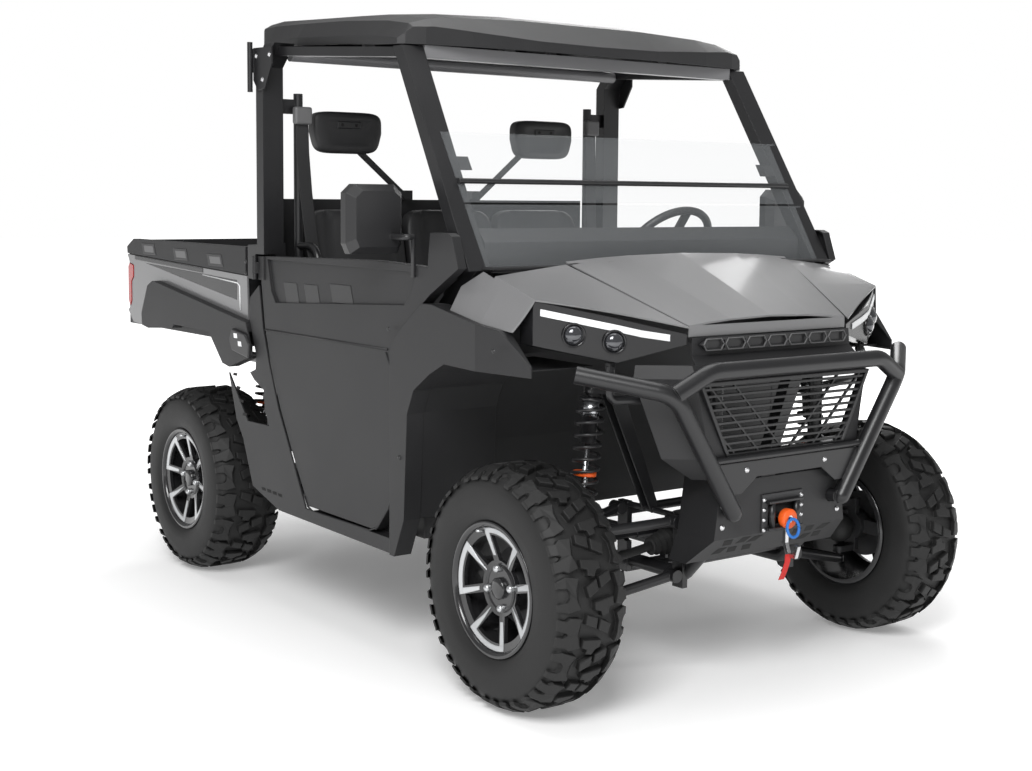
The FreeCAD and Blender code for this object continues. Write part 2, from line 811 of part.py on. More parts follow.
def drive_joint(joint_x, end_x):
    """The outer drive joint's ball and its stub shaft."""
    meet = math.asin(stub_radius / drive_joint_radius)

    def place(angle):
        return point(joint_x + drive_joint_radius * math.cos(angle), 0, drive_joint_radius * math.sin(angle))

    ball = Part.Arc(place(math.pi), place((math.pi + meet) / 2), place(meet)).toShape()
    corners = [place(meet), point(end_x, 0, stub_radius), point(end_x, 0, 0), place(math.pi)]
    edges = [ball] + [Part.LineSegment(a, b).toShape() for a, b in zip(corners, corners[1:])]
    return Part.Face(Part.Wire(edges)).revolve(point(0, 0, 0), point(1, 0, 0), 360)


def wheel_hub(lip_x):
    """The flange behind a rim, with its brake disc, stub shaft and outer drive joint."""
    joint_x = lip_x - lip_from_drive_joint
    disc_x = joint_x + disc_from_drive_joint
    face_x = lip_x - hub_face_inside_lip - dish_wall - seat_gap
    flange = spun([(disc_x, 0), (disc_x, disc_radius), (disc_x + disc_wall, disc_radius),
                   (disc_x + disc_wall, flange_radius), (face_x, flange_radius), (face_x, 0)])
    return Part.makeCompound([flange, drive_joint(joint_x, disc_x - seat_gap)])


def make_wheels():
    for end, axle_y, lip_x, width in (("front", axle_front_y, front_lip_x, front_tyre_width),
                                      ("rear", axle_rear_y, rear_lip_x, rear_tyre_width)):
        middle = lip_x + tyre_past_lip - width / 2
        rubber = moved(tyre(width), middle, axle_y, axle_z)
        save("tyre_" + end + "_left", [rubber])
        save("tyre_" + end + "_right", [mirrored(rubber)])
        for node, shape in (("rim_", rim(lip_x, width)), ("spokes_", spokes(lip_x, width)),
                            ("hub_", wheel_hub(lip_x))):
            metal = moved(shape, 0, axle_y, axle_z)
            save(node + end + "_left", [metal])
            save(node + end + "_right", [turned(metal, point(0, axle_y, 0), point(0, 0, 1), 180)])


# Knuckles, carriers and suspension

def upright(joint_x, axle_y):
    """The bearing housing with its upper and lower bosses."""
    housing_x = joint_x + housing_from_drive_joint
    centre = point(housing_x, axle_y, axle_z)
    end = point(housing_x + housing_length, axle_y, axle_z)
    upper_z = axle_z + upper_boss_above_axle
    lower_z = axle_z - lower_boss_below_axle
    half = upright_width / 2
    web_x = housing_x + upright_wall
    pieces = [rod(centre, end, housing_radius),
              box((housing_x, web_x), (axle_y - half, axle_y + half), (lower_z, upper_z))]
    for z in (upper_z - boss_length, lower_z):
        pieces.append(rod(point(joint_x, axle_y, z), point(joint_x, axle_y, z + boss_length), boss_radius))
        pieces.append(box((joint_x, web_x), (axle_y - boss_radius, axle_y + boss_radius),
                          (z, z + boss_length)))
    return pieces


def drilled(shape, joint_x, axle_y):
    """The wheel shaft's bore and the two ball stud bores."""
    start = point(joint_x + housing_from_drive_joint - overrun, axle_y, axle_z)
    along = point(housing_length + 2 * overrun, 0, 0)
    bore = rod(start, start + along, stub_radius + running_gap)
    pin = rod(point(joint_x, axle_y, axle_z - lower_boss_below_axle - overrun),
              point(joint_x, axle_y, axle_z + upper_boss_above_axle + overrun),
              stud_radius + running_gap)
    return shape.cut(bore).cut(pin)


def caliper(joint_x, axle_y):
    """A block that straddles the disc ahead of the axle, carried by the housing."""
    disc_x = joint_x + disc_from_drive_joint
    gap = slot_gap + panel_gap / 2
    low_x = disc_x - caliper_wall - gap
    high_x = disc_x + disc_wall + caliper_wall + gap
    inner_y = axle_y - disc_radius * caliper_start_share
    outer_y = inner_y - caliper_height
    half = caliper_length / 2
    body = box((low_x, high_x), (outer_y, inner_y), (axle_z - half, axle_z + half))
    slot = box((disc_x - gap, disc_x + disc_wall + gap), (axle_y - disc_radius - gap, inner_y + overrun),
               (axle_z - caliper_length, axle_z + caliper_length))
    housing_x = joint_x + housing_from_drive_joint
    arm = box((housing_x + upright_wall, low_x + gap), (outer_y, axle_y),
              (axle_z - upright_width / 2, axle_z + upright_width / 2))
    return [body.cut(slot), arm]


def make_knuckles():
    joint_x = front_lip_x - lip_from_drive_joint
    arm_x = joint_x - steering_arm_inside
    arm_y = axle_front_y + steering_arm_behind
    housing_x = joint_x + housing_from_drive_joint
    half = upright_width / 2
    top = axle_z + steering_arm_above + steering_arm_wall / 2
    arm = slab_z([(housing_x, axle_front_y + half / 2), (housing_x + upright_wall, axle_front_y + half / 2),
                  (housing_x + upright_wall, axle_front_y + half * 2),
                  (arm_x, arm_y + rod_eye_radius), (arm_x - rod_eye_radius, arm_y)],
                 top - steering_arm_wall, top)
    pieces = upright(joint_x, axle_front_y) + [arm] + caliper(joint_x, axle_front_y)
    knuckle = drilled(fuse(pieces), joint_x, axle_front_y)
    save("knuckle_left", [knuckle])
    save("knuckle_right", [mirrored(knuckle)])
    rear_x = rear_lip_x - lip_from_drive_joint
    carrier = fuse(upright(rear_x, axle_rear_y) + caliper(rear_x, axle_rear_y))
    save("rear_hub_carriers", both_sides([drilled(carrier, rear_x, axle_rear_y)]))


def suspension_arm(root_x, root_z, joint_x, axle_y, boss_z, upward):
    """A two-legged arm from its bushes to a ball stud at the upright's boss."""
    end_z = boss_z + upward * (boss_length / 2 + arm_end_drop)
    eye = point(joint_x, axle_y, end_z)
    half = point(0, 0, boss_length / 2)
    stud_end = point(joint_x, axle_y, boss_z - upward * boss_length / 2)
    pieces = [rod(eye - half, eye + half, boss_radius), rod(eye, stud_end, stud_radius)]
    for side in (-1, 1):
        root = point(root_x, axle_y + side * arm_root_spread, root_z)
        half = point(0, arm_bush_length / 2, 0)
        pieces += [rod(root, eye, arm_tube_radius), rod(root - half, root + half, arm_bush_radius)]
    cross = point(root_x, axle_y, root_z) + (eye - point(root_x, axle_y, root_z)) * arm_cross_share
    spread = point(0, arm_root_spread * (1 - arm_cross_share), 0)
    pieces.append(rod(cross - spread, cross + spread, arm_cross_radius))
    return fuse(pieces)


def make_arms():
    arms = []
    for axle_y, root_x, lip_x in ((axle_front_y, front_arm_root_x, front_lip_x),
                                  (axle_rear_y, rear_arm_root_x, rear_lip_x)):
        joint_x = lip_x - lip_from_drive_joint
        upper_z = axle_z + upper_boss_above_axle
        lower_z = axle_z - lower_boss_below_axle
        arms.append(suspension_arm(root_x, axle_z + upper_root_above_axle, joint_x, axle_y, upper_z, 1))
        arms.append(suspension_arm(root_x, axle_z - lower_root_below_axle, joint_x, axle_y, lower_z, -1))
    save("suspension_arms", both_sides(arms))


def damper(top, foot):
    """A damper with its eyes across the vehicle's length and a coil about it."""
    along = (foot - top).normalize()
    length = (foot - top).Length
    body_end = top + along * (length * damper_body_share)
    pieces = [rod(top, body_end, damper_neck_radius),
              rod(top + along * (damper_eye_radius + coil_wire_radius / 2), body_end, damper_body_radius),
              rod(body_end - along * seat_gap, foot, damper_rod_radius)]
    half = point(0, damper_eye_length / 2, 0)
    for eye in (top, foot):
        pieces.append(rod(eye - half, eye + half, damper_eye_radius))
    start = top + along * (damper_eye_radius + coil_wire_radius)
    coil_length = length * coil_share
    for index in range(coil_turns + 1):
        centre = start + along * (coil_length * index / coil_turns)
        pieces.append(rod(centre, centre + along * coil_wire_height, coil_radius))
    pieces.append(rod(start, start + along * coil_length, coil_core_radius))
    return fuse(pieces)


def damper_places():
    """Top and foot of the front and rear dampers with their frame roots."""
    foot_z = axle_z + upper_boss_above_axle + boss_length + arm_end_drop + damper_foot_rise
    return [(point(damper_top_x, axle_front_y + damper_behind_axle, damper_top_z),
             point(damper_foot_x, axle_front_y + damper_behind_axle, foot_z), front_arm_root_x),
            (point(rear_damper_top_x, axle_rear_y + damper_behind_axle, rear_damper_top_z),
             point(rear_damper_foot_x, axle_rear_y + damper_behind_axle, foot_z), rear_arm_root_x)]


def make_dampers():
    save("dampers", both_sides([damper(top, foot) for top, foot, _ in damper_places()]))


def boot_shell(joint_x, axle_y):
    """A ball-shaped boot round the outer drive joint, open towards the wheel."""
    inner = drive_joint_radius + boot_gap
    outer = inner + boot_wall
    mouth = math.radians(boot_mouth_angle)

    def place(radius, angle):
        return point(joint_x + radius * math.cos(angle), 0, radius * math.sin(angle))

    def arc(radius, first, last):
        return Part.Arc(place(radius, first), place(radius, (first + last) / 2),
                        place(radius, last)).toShape()

    mouth_edge = Part.LineSegment(place(outer, mouth), place(inner, mouth)).toShape()
    pole_edge = Part.LineSegment(place(inner, math.pi), place(outer, math.pi)).toShape()
    wire = Part.Wire([arc(outer, math.pi, mouth), mouth_edge, arc(inner, mouth, math.pi), pole_edge])
    shell = Part.Face(wire).revolve(point(0, 0, 0), point(1, 0, 0), 360)
    return moved(shell, 0, axle_y, axle_z)


def half_shaft(joint_x, axle_y, rise):
    """Inner boot, shaft and outer boot, from the gearcase up or level to the outer drive joint."""
    outer = drive_joint_radius + boot_gap + boot_wall
    gear_x = gearcase_half_width
    lines = [(gear_x - overrun, 0), (gear_x - overrun, inner_joint_radius),
             (gear_x + inner_joint_length, inner_joint_radius)]
    step = boot_length / boot_rib_count
    taper = (inner_joint_radius - boot_end_radius) / boot_rib_count
    for index in range(boot_rib_count):
        x = gear_x + inner_joint_length + step * index
        narrow = inner_joint_radius - (index + 1) * taper
        lines += [(x + step / 4, narrow - boot_rib_depth), (x + step * 3 / 4, narrow + boot_rib_depth)]
    last_x = gear_x + inner_joint_length + boot_length
    inner_boot = spun(lines + [(last_x, boot_end_radius), (last_x, 0)])
    first_x = joint_x - outer - boot_length
    bar = rod(point(last_x + seat_gap, 0, 0), point(first_x - seat_gap, 0, 0), shaft_radius)
    lines = [(first_x, 0), (first_x, boot_end_radius)]
    for index in range(boot_rib_count):
        x = first_x + step * index
        wide = boot_end_radius + index * taper
        lines += [(x + step / 4, wide + boot_rib_depth), (x + step * 3 / 4, wide - boot_rib_depth)]
    end_x = joint_x - outer + boot_wall / 2
    outer_boot = spun(lines + [(end_x, boot_end_radius), (end_x, 0)])
    centre = point(joint_x, axle_y, axle_z)
    lean = math.degrees(math.atan2(rise, joint_x - gear_x))
    inner_boot, bar, outer_boot = (turned(moved(shape, 0, axle_y, axle_z), centre, point(0, 1, 0), lean)
                                   for shape in (inner_boot, bar, outer_boot))
    reach = shaft_trim
    face_x = gear_x + seat_gap
    case = box((gear_x - reach, face_x), (axle_y - reach, axle_y + reach), (axle_z - reach, axle_z + reach))
    return [inner_boot.cut(case), bar, fuse([outer_boot, boot_shell(joint_x, axle_y)])]


def make_half_shafts():
    shafts = half_shaft(front_lip_x - lip_from_drive_joint, axle_front_y, gearcase_rise)
    shafts += half_shaft(rear_lip_x - lip_from_drive_joint, axle_rear_y, 0)
    save("half_shafts", both_sides(shafts))


# Steering gear

def rack_line():
    """The (y, z) of the rack, above the steering arms' eyes."""
    arm_top = axle_z + steering_arm_above + steering_arm_wall / 2
    return axle_front_y + steering_arm_behind, arm_top + slot_gap + rod_eye_length / 2


def make_tie_rods():
    y, z = rack_line()
    eye_x = front_lip_x - lip_from_drive_joint - steering_arm_inside
    half = point(0, 0, rod_eye_length / 2)
    pieces = [rod(point(-rack_half, y, z), point(rack_half, y, z), rack_radius)]
    for side in (-1, 1):
        eye = point(side * eye_x, y, z)
        pieces += [rod(point(side * (rack_half - rack_radius), y, z), eye, tie_rod_radius),
                   rod(eye - half, eye + half, rod_eye_radius)]
    save("tie_rods", [fuse(pieces)])


def steering_wheel_centre():
    return point(steering_wheel_x, axle_front_y + steering_wheel_behind_axle, steering_wheel_z)


def column_direction():
    """The column runs from the steering wheel down and towards the nose."""
    tilt = math.radians(column_tilt)
    return point(0, -math.cos(tilt), -math.sin(tilt))


def make_steering_wheel():
    """A ring with three spokes and a bored hub, turned to the column's tilt."""
    centre = point(0, 0, 0)
    ring = Part.makeTorus(steering_wheel_radius, steering_grip_radius)
    hub = rod(point(0, 0, -steering_hub_depth), point(0, 0, spoke_wall / 2), steering_hub_radius)
    spokes = []
    for angle in (0, 180, 270):
        spoke = box((0, steering_wheel_radius), (-spoke_width / 2, spoke_width / 2), (-spoke_wall, 0))
        spokes.append(turned(spoke, centre, point(0, 0, 1), angle))
    bore = rod(point(0, 0, -steering_hub_depth - overrun), point(0, 0, -spoke_wall),
               column_stub_radius + running_gap)
    wheel = fuse([ring, hub] + spokes).cut(bore)
    wheel = turned(wheel, centre, point(1, 0, 0), column_tilt - 90)
    place = steering_wheel_centre()
    save("steering_wheel", [moved(wheel, place.x, place.y, place.z)])


# Lower frame

def tower(top, foot, root_x):
    """Two plates from the frame to both sides of a damper's upper eye, with a web between them."""
    half_eye = damper_eye_length / 2 + seat_gap
    along = (foot - top).normalize()
    inward = point(along.z, 0, -along.x)
    high_z = axle_z + upper_root_above_axle + arm_bush_radius
    outer, inner = root_x - arm_bush_radius, root_x - arm_bush_radius * 2

    def beside(inside, down):
        place = top + inward * inside + along * down
        return place.x, place.z

    clear = coil_radius + tower_gap
    eye = damper_eye_radius
    outline = [(inner, high_z - eye), (outer, high_z - eye), beside(clear, eye / 2), beside(-eye, eye / 2),
               beside(-eye, -eye), beside(clear + tower_width, -eye), (inner, high_z + eye)]
    plates = [slab_y(outline, top.y - half_eye - tower_plate, top.y - half_eye),
              slab_y(outline, top.y + half_eye, top.y + half_eye + tower_plate)]
    web = slab_y(strip([(inner, high_z - eye), (inner, high_z + eye), beside(clear + tower_width, -eye),
                        beside(clear, -eye)], -tower_plate), top.y - half_eye, top.y + half_eye)
    spread = point(0, arm_root_spread, 0)
    beam = point((outer + inner) / 2, top.y - damper_behind_axle, high_z - tower_foot_radius)
    return plates + [web, rod(beam - spread, beam + spread, tower_foot_radius)]


def arm_bracket(side, axle_y, root_x, step):
    """An upright plate that carries one leg of the upper and lower arm."""
    high_z = axle_z + upper_root_above_axle + arm_bush_radius
    y = axle_y + step * arm_root_spread
    outer, inner = side * (root_x - arm_bush_radius), side * (root_x - arm_bush_radius * 2)
    return box((min(inner, outer), max(inner, outer)), (y - arm_bush_length / 2, y + arm_bush_length / 2),
               (axle_z - lower_root_below_axle - arm_bush_radius * 2, high_z))


def across_box(side, x_range, y_range, z_range):
    """A box whose distances from the middle plane are given for one side."""
    return box(sorted((side * x_range[0], side * x_range[1])), y_range, z_range)


def rails(side):
    """Main rail, sill loop and bed rail of one side."""
    x, bed_x = side * rail_x, side * bed_rail_x
    line = [point(x, y, z) for y, z in behind(axle_front_y, rail_front_line)]
    line += [point(x, rail_rear_y, rail_z), point(x, rail_rear_y, bed_rail_z)]
    loop = [point(x, sill_front_y - sill_root_ahead, rail_z), point(side * sill_x, sill_front_y, sill_z),
            point(side * sill_x, sill_rear_y, sill_z), point(x, sill_rear_y + sill_root_behind, rail_z)]
    post_y = bed_rail_front_y + rail_radius
    return [bent_tube(line, rail_radius, rail_radius * 2), bent_tube(loop, sill_radius, sill_bend),
            rod(point(bed_x, bed_rail_front_y, bed_rail_z), point(bed_x, bed_rail_rear_y, bed_rail_z),
                rail_radius),
            rod(point(x, post_y, rail_z), point(bed_x, post_y, bed_rail_z), rail_radius)]


def cowl_post(side):
    xs = sorted((side * cowl_post_x, side * (cowl_post_x + cowl_post_width)))
    outline = strip(behind(axle_front_y, cowl_post_line), -cowl_post_depth)
    post = slab_x(outline, xs[0], xs[1])
    low = cowl_post_line[0][1]
    return post.common(box((xs[0] - overrun, xs[1] + overrun), (axle_front_y, axle_rear_y),
                           (low, cowl_post_top_z)))


def fascia_back(z):
    """Where the fascia's inner face is at a height of its top band."""
    (high_z, high_y), (low_z, low_y) = fascia_rows[0][:2], fascia_rows[1][:2]
    return axle_front_y + low_y + (high_y - low_y) * (z - low_z) / (high_z - low_z) + fascia_wall


def fascia_pad(side):
    """A block from the front upright to the fascia's inner face."""
    outline = [(rail_front_y, fascia_pad_low_z), (rail_front_y, fascia_pad_high_z),
               (fascia_back(fascia_pad_high_z) + seat_gap, fascia_pad_high_z),
               (fascia_back(fascia_pad_low_z) + seat_gap, fascia_pad_low_z)]
    xs = sorted((side * (rail_x - rail_radius), side * rail_x))
    return slab_x(outline, xs[0], xs[1])


def lamp_bracket(side):
    """A tube from the front upright to a pad below the headlamp."""
    y = axle_front_y + (lamp_inner_behind_axle + lamp_outer_behind_axle) / 2
    top = (lamp_inner_top_z + lamp_outer_top_z) / 2 - lamp_height - lamp_seat
    half = lamp_bracket_size / 2
    pad = across_box(side, (lamp_bracket_x - half, lamp_bracket_x + half), (y - half, y + half),
                     (top - lamp_bracket_size, top))
    elbow = point(side * lamp_bracket_x, y, lamp_tube_z)
    tube = bent_tube([point(side * rail_x, rail_front_y, lamp_tube_z), elbow,
                      point(side * lamp_bracket_x, y, top - half)], lamp_tube_radius, rail_radius)
    return [pad, tube]


def bed_lug(side):
    """The fixed half of the bed's hinge with its pin."""
    y, x = axle_rear_y + bed_hinge_behind_axle, side * bed_rail_x
    half = bed_lug_depth / 2
    lug = box((x - bed_lug_half, x + bed_lug_half), (y - half, y + half), (bed_rail_z, bed_hinge_z + half))
    reach = point(bed_lug_half + bed_cheek_gap + bed_cheek, 0, 0)
    axis = point(x, y, bed_hinge_z)
    return [lug, rod(axis - reach, axis + reach, bed_pin_radius)]


def frame_side(side):
    """The rails of one side with the brackets they carry."""
    pieces = rails(side) + [cowl_post(side), fascia_pad(side)] + lamp_bracket(side) + bed_lug(side)
    for axle_y, root_x in ((axle_front_y, front_arm_root_x), (axle_rear_y, rear_arm_root_x)):
        pieces += [arm_bracket(side, axle_y, root_x, step) for step in (-1, 1)]
    pillar_y, half = axle_front_y + rear_pillar_behind_axle, pillar_depth / 2
    pieces.append(across_box(side, (sill_x, rear_leg_x + rear_leg_width), (pillar_y - half, pillar_y + half),
                             (sill_z - sill_radius, sill_z + sill_radius)))
    pieces.append(across_box(side, (stand_off_x, stand_off_x + stand_off_width),
                             (axle_front_y + skid_rows[0][1] + skid_wall + seat_gap, rail_front_y),
                             (stand_off_low_z, stand_off_high_z)))
    return pieces


def cross_tube(half, y, z, radius):
    return rod(point(-half, y, z), point(half, y, z), radius)


def rack_housing():
    y, z = rack_line()
    pieces = [cross_tube(rack_housing_half, y, z, rack_housing_radius)]
    foot_y, half = axle_front_y + arm_root_spread, rack_foot_half
    for x in (-rack_foot_x, rack_foot_x):
        pieces.append(box((x - half, x + half), (y, foot_y + half), (rack_cross_z, z)))
    return pieces


def make_frame():
    pieces = frame_side(-1) + frame_side(1) + rack_housing()
    arm_half = front_arm_root_x - arm_bush_radius
    for y, half, z in ((rail_front_y, rail_x, nose_rail_z - cross_tube_radius),
                       (sill_front_y, sill_x, sill_z),
                       (seat_box_front_y, sill_x, sill_z), (rail_rear_y, rail_x, rail_z),
                       (rail_rear_y, bed_rail_x, bed_rail_z), (bed_rail_front_y, bed_rail_x, bed_rail_z),
                       (rail_rear_y, rail_x, receiver_z), (axle_front_y - arm_root_spread, arm_half,
                                                           front_cross_z),
                       (axle_front_y + arm_root_spread, rail_x, rack_cross_z),
                       (axle_rear_y - arm_root_spread, rail_x, rail_z),
                       (axle_rear_y + arm_root_spread, rail_x, rail_z)):
        pieces.append(cross_tube(half, y, z, cross_tube_radius))
    for top, foot, root_x in damper_places():
        pieces += both_sides(tower(top, foot, root_x))
    pieces.append(box((-rail_x, rail_x), (rail_front_y - tower_plate, rail_front_y),
                      (winch_plate_low_z, winch_plate_high_z)))
    pieces.append(cross_tube(cowl_post_x, axle_front_y + cowl_tube_behind_axle, cowl_tube_z,
                             cross_tube_radius))
    y, z = rack_line()
    bore = cross_tube(rack_housing_half + overrun, y, z, rack_radius + running_gap)
    start, end = point(rack_housing_half, y, z), point(sill_x, y, z)
    holes = both_sides([rod(start, end, rack_radius + rod_gap)])
    frame = fuse(pieces).cut(Part.makeCompound(holes + [bore]))
    save("chassis_frame", [fuse([frame, receiver()])])


def receiver():
    half, bore = receiver_outer / 2, receiver_inner / 2
    rear = rail_rear_y + receiver_length
    body = box((-half, half), (rail_rear_y, rear), (receiver_z - half, receiver_z + half))
    hollow = box((-bore, bore), (rail_rear_y + rail_radius, rear + overrun),
                 (receiver_z - bore, receiver_z + bore))
    pin_y = rear - receiver_pin_inset
    pin = cross_tube(half + overrun, pin_y, receiver_z, receiver_pin_radius)
    return body.cut(hollow).cut(pin)


def make_drivetrain():
    bottom = rail_z + rail_radius + seat_gap
    pieces = [box((-engine_half_width - rail_radius, engine_half_width + rail_radius),
                  (engine_front_y, engine_rear_y), (bottom, bottom + engine_height))]
    for axle_y, rise, foot_z in ((axle_front_y, gearcase_rise, rail_front_line[3][1]),
                                 (axle_rear_y, 0, rail_z)):
        pieces.append(cross_tube(gearcase_half_width, axle_y, axle_z + rise, gearcase_radius))
        half = rail_x - rail_radius - seat_gap
        pieces.append(box((-half, half), (axle_y - foot_length / 2, axle_y + foot_length / 2),
                          (foot_z - foot_height / 2, foot_z + foot_height / 2)))
    pieces.append(rod(point(0, axle_front_y, axle_z), point(0, axle_rear_y, axle_z), prop_shaft_radius))
    save("drivetrain", [fuse(pieces)])


def make_muffler():
    y, half = rail_rear_y, muffler_half_length
    body = cross_tube(half, y, muffler_z, muffler_radius)
    pins = cross_tube(rail_x - rail_radius - seat_gap, y, muffler_z, muffler_pin_radius)
    x = half - tail_pipe_radius * 2
    pipe = rod(point(x, y, muffler_z), point(x, y + muffler_radius + tail_pipe_reach, muffler_z),
               tail_pipe_radius)
    save("muffler", [fuse([body, pins, pipe])])


# Cage

def upright_section(x, y, z, half_x, half_y):
    return [point(x + a * half_x, y + b * half_y, z) for a, b in ((-1, -1), (1, -1), (1, 1), (-1, 1))]


def across_section(x, y, z, half_x, half_z):
    return [point(x + a * half_x, y, z + b * half_z) for a, b in ((-1, -1), (1, -1), (1, 1), (-1, 1))]


def hinge_block():
    """The fixed half of a door hinge with its pin, behind the rear pillar."""
    pillar_rear = axle_front_y + rear_pillar_behind_axle + pillar_depth / 2
    front, rear = axle_front_y + hinge_block_front, axle_front_y + hinge_block_rear
    inner = door_outer_x - door_leaf_length
    top_z = door_hinge_low_z + door_hinge_height
    block = box((inner, side_x), (front, rear), (door_hinge_low_z, rear_pillar_low_z + overrun))
    link = box((inner, side_x), (pillar_rear - overrun, rear),
               (rear_pillar_low_z, rear_pillar_low_z + overrun))
    y = axle_front_y + door_hinge_behind_axle
    pin = rod(point(door_hinge_x, y, door_hinge_low_z), point(door_hinge_x, y, top_z), door_pin_radius)
    pieces = [block, link, pin]
    knuckle = door_hinge_height / 4
    for low in (door_hinge_low_z, top_z - knuckle):
        pieces.append(rod(point(door_hinge_x, y, low), point(door_hinge_x, y, low + knuckle),
                          door_knuckle_radius))
        pieces.append(box((side_x - door_leaf_wall, door_hinge_x), (y, front + door_leaf_wall),
                          (low, low + knuckle)))
    return pieces


def cage_side():
    """Front pillar, roof rail and rear pillar of one side as one bent profile."""
    half_x, half_y = pillar_width / 2, pillar_depth / 2
    front = skin([upright_section(pillar_foot_x, axle_front_y + pillar_foot_behind_axle, pillar_foot_z,
                                  half_x, half_y),
                  upright_section(pillar_head_x, axle_front_y + pillar_head_behind_axle, pillar_head_z,
                                  half_x, half_y)])
    rear_y = axle_front_y + rear_pillar_behind_axle
    head_y = axle_front_y + rear_head_behind_axle
    rear = skin([upright_section(rear_pillar_x, rear_y, rear_pillar_low_z, half_x, half_y),
                 upright_section(rear_pillar_x, rear_y, rear_pillar_bend_z, half_x, half_y)])
    head = skin([upright_section(rear_pillar_x, rear_y, rear_pillar_bend_z, half_x, half_y),
                 upright_section(rear_pillar_x, head_y, rear_head_z, half_x, rear_head_depth / 2)])
    leg = box((rear_leg_x, rear_leg_x + rear_leg_width), (rear_y - half_y, rear_y + half_y),
              (sill_z + sill_radius + seat_gap, rear_pillar_low_z + half_x))
    rail = skin([across_section(pillar_head_x, axle_front_y + pillar_head_behind_axle, roof_rail_front_z,
                                roof_rail_width / 2, roof_rail_height / 2),
                 across_section(roof_rail_rear_x, head_y, roof_rail_rear_z, roof_rail_width / 2,
                                roof_rail_height / 2)])
    outer = rear_pillar_x + half_x
    plate = slab_x(behind(axle_front_y, upper_hinge_corners), outer - seat_gap, outer + upper_hinge_wall)
    barrel_y = axle_front_y + upper_barrel_behind_axle
    barrel = rod(point(upper_barrel_x, barrel_y, upper_barrel_low_z),
                 point(upper_barrel_x, barrel_y, upper_barrel_high_z), upper_barrel_radius)
    link = box((outer, upper_barrel_x), (barrel_y - upper_hinge_wall, barrel_y),
               (upper_hinge_corners[3][1] + overrun * 2, upper_hinge_corners[0][1]))
    return fuse([front, rear, head, leg, rail, plate, barrel, link] + hinge_block())


def make_cage():
    save("cage_sides", both_sides([cage_side()]))
    half = header_height / 2
    pillar_inner = pillar_head_x - pillar_width / 2 - seat_gap
    head_y = axle_front_y + pillar_head_behind_axle
    header = box((-pillar_inner, pillar_inner), (head_y - header_depth, head_y),
                 (header_z - half, header_z + half))
    rear_inner = rear_pillar_x - pillar_width / 2 - seat_gap
    rear = cross_tube(rear_inner, axle_front_y + rear_head_behind_axle,
                      roof_rail_rear_z - crossbar_radius / 2, crossbar_radius)
    save("cage_crossbars", [header, rear])


def roof_row(station, wall, drop):
    """One cross-section of the roof, closed below, made smaller by a wall where asked."""
    distance, lip_x, lip_z, channel_z, shoulder_x, shoulder_z, middle_z, centre_z = station
    bulge_x = shoulder_x + roof_bulge_out_share * (lip_x - shoulder_x)
    bulge_z = channel_z + roof_bulge_up_share * (shoulder_z - channel_z)
    half = [(lip_x - wall, lip_z - drop), (lip_x - wall, channel_z - wall), (bulge_x - wall, bulge_z - wall),
            (shoulder_x - wall / 2, shoulder_z - wall), (roof_middle_x, middle_z - wall),
            (roof_middle_x / 2, centre_z - wall)]
    y = axle_front_y + distance
    return [point(-x, y, z) for x, z in half] + [point(x, y, z) for x, z in reversed(half)]


def roof_body(wall, drop):
    """The roof as a full body, its plan and side trimmed by outlines."""
    body = skin([roof_row(station, wall, drop) for station in roof_stations])
    plan = [(x, axle_front_y + d) for x, d in roof_plan]
    plan += [(-x, y) for x, y in reversed(plan[1:-1])]
    side = behind(axle_front_y, roof_side)
    if wall:
        plan = inset(plan, wall)
        side = inset(side, wall)
    low = min(z for _, z in side)
    half = max(x for x, _ in plan) + overrun
    body = body.common(slab_z(plan, low, max(z for _, z in side)))
    return body.common(slab_x(side, -half, half))


def make_roof():
    body = roof_body(0, 0)
    roof = body.cut(roof_body(roof_wall, overrun))
    half = roof_boss_width / 2
    header_top = header_z + header_height / 2 + seat_gap
    head_y = axle_front_y + pillar_head_behind_axle
    rear_y = axle_front_y + rear_head_behind_axle
    rear_top = roof_rail_rear_z + crossbar_radius / 2 + seat_gap
    for x in (-roof_boss_front_x, roof_boss_front_x):
        boss = box((x - half, x + half), (head_y - header_depth, head_y),
                   (header_top, pillar_head_z + roof_boss_rear_x))
        roof = roof.fuse(boss.common(body))
    for x in (-roof_boss_rear_x, roof_boss_rear_x):
        boss = box((x - half, x + half), (rear_y - half / 2, rear_y + half / 2),
                   (rear_top, pillar_head_z + roof_boss_rear_x))
        roof = roof.fuse(boss.common(body))
    save("roof", [roof])


# Windscreen

def pillar_slope():
    return (pillar_head_behind_axle - pillar_foot_behind_axle) / (pillar_head_z - pillar_foot_z)


def screen_place(z, ahead):
    """A point in the windscreen's plane, a distance ahead of the pillars' front faces."""
    slope = pillar_slope()
    stretch = math.sqrt(1 + slope ** 2)
    pillar_y = axle_front_y + pillar_foot_behind_axle + slope * (z - pillar_foot_z)
    return pillar_y - pillar_depth / 2 - ahead * stretch, z


def pane(low_z, high_z):
    ahead = seat_gap + screen_wall
    outline = [screen_place(low_z, seat_gap), screen_place(high_z, seat_gap),
               screen_place(high_z, ahead), screen_place(low_z, ahead)]
    return slab_x(outline, -screen_half, screen_half)


def lipped(low_z, high_z):
    """A pane with a lip along its top that turns forward."""
    y, z = screen_place(high_z, seat_gap + screen_wall)
    lip = box((-screen_half, screen_half), (y - screen_lip, y), (z - screen_wall, z))
    return fuse([pane(low_z, high_z), lip])


